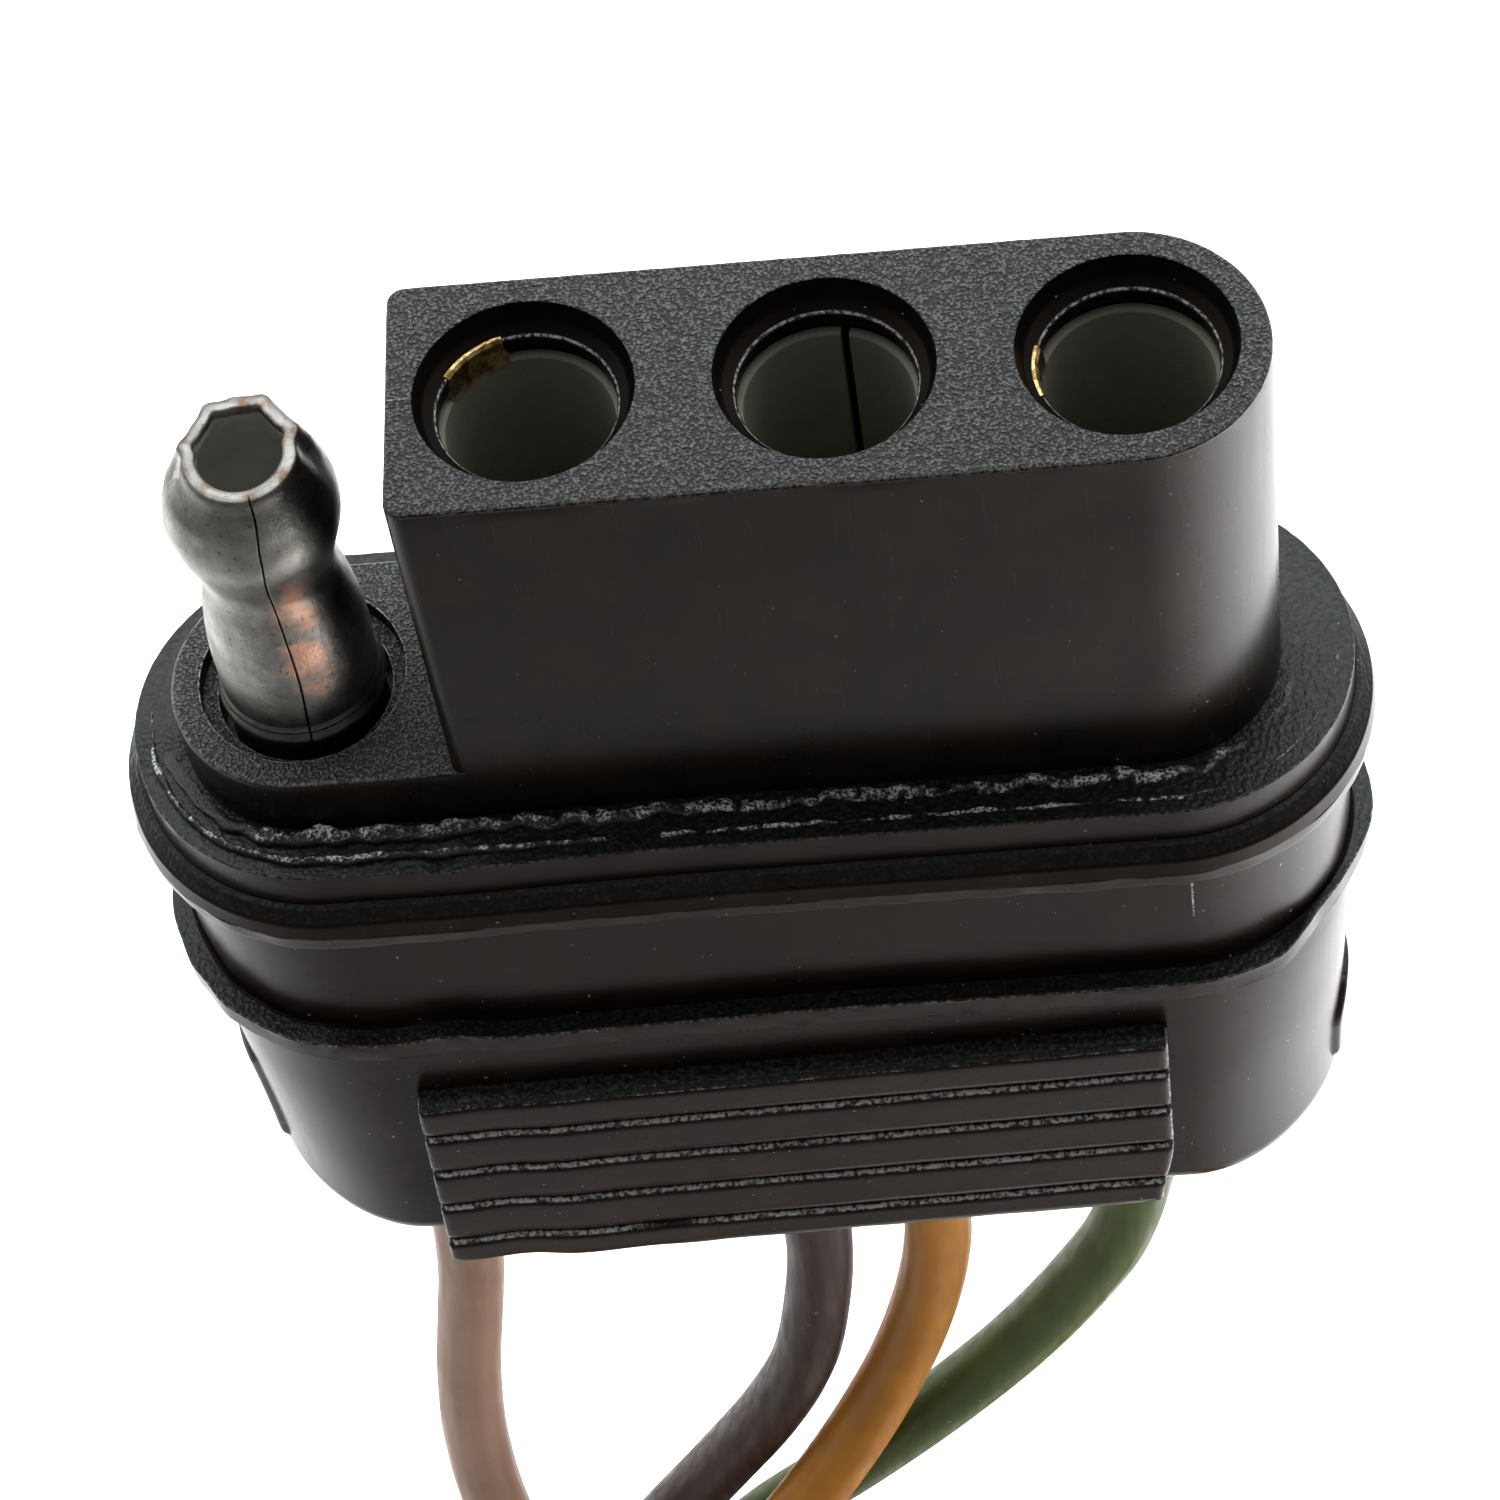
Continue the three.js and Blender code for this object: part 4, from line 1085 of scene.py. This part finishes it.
def make_strands(name, start, tip):
    """A stripped end: nineteen fine strands with a lay, a little opened at the tip."""
    way = (tip - start) / np.linalg.norm(tip - start)
    across = np.cross(way, (0, 0, 1.0))
    over = np.cross(across, way)
    shape = Shape()
    places = [(0.0, 0.0)] + [(0.235, k * math.pi / 3) for k in range(6)]
    places += [(0.47, k * math.pi / 6 + 0.13) for k in range(12)]
    for k, (r, phase) in enumerate(places):
        line = []
        short = 0.25 * (0.5 + 0.5 * bumpy(k * 1.7, 0, 0, 1.0, 2.0))
        for t in np.linspace(-0.02, 1.0, 22):
            turn = phase + 3.2 * t
            spread = r * (1 + 0.12 * max(0.0, t - 0.6) * (1 + bumpy(k * 2.3, 0, 0, 1.0, 5.0)))
            along = start + way * (STRIPPED - short) * t
            line.append(along + spread * (across * math.cos(turn) + over * math.sin(turn)))
        rows = tube_rows(line, STRAND_R, STRAND_SIDES)
        shape.grid(rows)
        shape.cap(rows[0])
        shape.cap(rows[-1], flip=True)
    return shape.build("strands_" + name, COPPER, "bare_copper", ["stripped_end_" + name], sharp=50)


def add_box(shape, size, radius, place, flip=False):
    """A box added to a shape, each of its points moved to where place puts it."""
    box = Shape()
    box_shape(box, (0, 0, 0), size, radius, 0.01)
    base = len(shape.points)
    shape.points += [list(place(*p)) for p in box.points]
    shape.wear_and_shading += box.wear_and_shading
    shape.faces += [[base + k for k in (face[::-1] if flip else face)] for face in box.faces]


def make_tie():
    """A nylon tie round the coil's section, with a boxed head on top and a trimmed tail."""
    shape = Shape()
    turns = math.floor(LEAVE_TURNS[1] - TIE_ANGLE_TURNS) + TIE_ANGLE_TURNS
    inner = COIL_R + 2 * SPACING * TIE_ANGLE_TURNS - WIRE_D / 2 - 0.05
    outer = COIL_R + SPACING + 2 * SPACING * turns + WIRE_D / 2 + 0.05
    low, high = COIL_BASE - 0.02, COIL_BASE + 2 * SPACING - 0.2
    radius = TIE_CORNER_R
    mid, half = (inner + outer) / 2, (outer - inner) / 2

    def corner_at(k):
        sx, sz = ((1, 1), (-1, 1), (-1, -1), (1, -1))[k % 4]
        return mid + sx * (half - radius), (low + high) / 2 + sz * ((high - low) / 2 - radius)

    rows, path = [], []
    for k in range(4):
        (r, z), (next_r, next_z) = corner_at(k), corner_at(k + 1)
        for a in np.linspace(0, math.pi / 2, 7):
            turn = a + k * math.pi / 2
            path.append((r, z, math.cos(turn), math.sin(turn)))
        turn = (k + 1) * math.pi / 2
        for t in np.linspace(0, 1, 14)[1:-1]:
            path.append((r + (next_r - r) * t, z + (next_z - z) * t, math.cos(turn), math.sin(turn)))
    turn = math.radians(TIE_ANGLE)
    way, side = np.array((math.cos(turn), math.sin(turn))), np.array((-math.sin(turn), math.cos(turn)))

    def put(r, across, z):
        flat = way * r + side * across
        return (COIL_X + flat[0], COIL_Y + flat[1], z)

    w, t = TIE_WIDTH / 2, TIE_THICK
    section = [(-w, 0.03), (-w, t - 0.12), (-w + 0.12, t), (-0.9, t), (-0.75, t - 0.12), (0.75, t - 0.12),
               (0.9, t), (w - 0.12, t), (w, t - 0.12), (w, 0.03), (w - 0.05, 0.0), (-w + 0.05, 0.0)]
    wear_shade = [0.2, 1, 1, 0.3, 0, 0, 0.3, 1, 1, 0.2, 0, 0]
    for cx, cz, nx, nz in path:
        rows.append([put(cx + nx * (radius + h), across, cz + nz * (radius + h)) for across, h in section])
    shape.grid(rows + [rows[0]], np.array([wear_shade] * (len(rows) + 1)), flip=True)
    head_r, head_z = outer - 3.4, high + t + 0.75
    add_box(shape, (4.2, 4.4, 1.7), 0.35, lambda x, y, z: put(head_r + x, y, head_z + z))
    add_box(shape, (2.4, 2.6, 0.5), 0.12,
            lambda x, y, z: put(head_r - 2.6 - x, y, head_z + 0.1 + z + 0.3 * (0.25 * (x + 1.2))), flip=True)
    return shape.build("tie_strap", NYLON, "tie_nylon", ["coil_tie"], sharp=50)


# ---- Make everything: cords first ----
leads = {name: make_wire(name, wire) for name, wire in WIRES.items()}
for name, (lead, line, tip) in leads.items():
    strands = make_strands(name, line[-1], np.asarray(tip))

make_jacket()
for side in (-1, 1):
    make_grip(side)
    make_end_tab(side)
make_insert()

flash_strip("ring_fold", stadium(JACKET_SPAN, JACKET_X, flat=0.07, arc=220), RING_HALF - 0.52, RING_Z - 0.02,
            0.22, 0.10, 2.0, fold_amount)
flash_strip("seam_flash", stadium(TERMINAL_X[3], 0.0, flat=0.06, arc=200), BLOCK_HALF + 0.38, RING_Z - 0.03,
            0.62, 0.17, 11.0, seam_amount)
make_mould_line("mould_line_top", ((BLOCK_LEFT_X + TERMINAL_X[1] - COUNTERBORE_R) / 2, 0.0, MATING_Z),
                (0.66, 0.05, 0.03), INSERT, "insert_pvc")
make_mould_line("mould_line_groove", (JACKET_X + JACKET_SPAN + LINE_PAST_END,
                                      -math.sqrt(GROOVE_HALF ** 2 - LINE_PAST_END ** 2), 1.1),
                (0.06, 0.06, 2.4), JACKET, "jacket_pvc")
make_bullet()
make_contact("brown", TERMINAL_X[1], 270, [(106, 152)])
make_contact("yellow", TERMINAL_X[2], 78, [])
make_contact("green", TERMINAL_X[3], 270, [(160, 203)])
make_tie()
for name in WIRES:
    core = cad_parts["crimped_strands_" + name]
    core.data.materials.clear()
    core.data.materials.append(COPPER)


# ---- Floor and light ----
def make_floor():
    mesh = bpy.data.meshes.new("floor")
    half, z = FLOOR_HALF_M, FLOOR_Z * MM
    corners = [(-half, -half, z), (half, -half, z), (half, half, z), (-half, half, z)]
    mesh.from_pydata(corners, [], [(0, 1, 2, 3)])
    linked("floor", mesh, floor_paint())


def area_light(name, at, towards, size, power, spread):
    data = bpy.data.lights.new(name, "AREA")
    data.shape = "RECTANGLE"
    data.size, data.size_y = size
    data.energy = power
    data.spread = math.radians(spread)
    lamp = bpy.data.objects.new(name, data)
    lamp.location = at
    lamp.rotation_mode = "QUATERNION"
    lamp.rotation_quaternion = (Vector(towards) - Vector(at)).to_track_quat("-Z", "Y")
    bpy.context.scene.collection.objects.link(lamp)


def make_world(front, back):
    """Soft white all round, dimmer on the viewer's side."""
    world = bpy.data.worlds.new("studio")
    world.use_nodes = True
    tree = world.node_tree
    sky = next(n for n in tree.nodes if n.type == "BACKGROUND")
    sky.inputs["Color"].default_value = (1.0, 1.0, 1.0, 1.0)
    split = tree.nodes.new("ShaderNodeSeparateXYZ")
    tree.links.new(tree.nodes.new("ShaderNodeTexCoord").outputs["Generated"], split.inputs[0])
    ramp = tree.nodes.new("ShaderNodeMapRange")
    ramp.interpolation_type = "SMOOTHSTEP"
    for socket, value in zip(ramp.inputs[1:], (-0.5, 0.5, front, back)):
        socket.default_value = value
    tree.links.new(split.outputs["Y"], ramp.inputs[0])
    tree.links.new(ramp.outputs["Result"], sky.inputs["Strength"])
    bpy.context.scene.world = world


make_floor()
make_world(0.15, 1.05)
area_light("back", (0.0, 0.13, 0.10), (0.0, 0.13, FLOOR_Z * MM), (0.34, 0.20), 0.55, 90)
area_light("left", (-0.13, 0.01, 0.10), (-0.13, 0.01, FLOOR_Z * MM), (0.12, 0.16), 0.26, 80)
area_light("right", (0.115, -0.03, 0.10), (0.115, -0.03, FLOOR_Z * MM), (0.10, 0.14), 0.62, 65)
bpy.context.scene.view_settings.view_transform = "Standard"
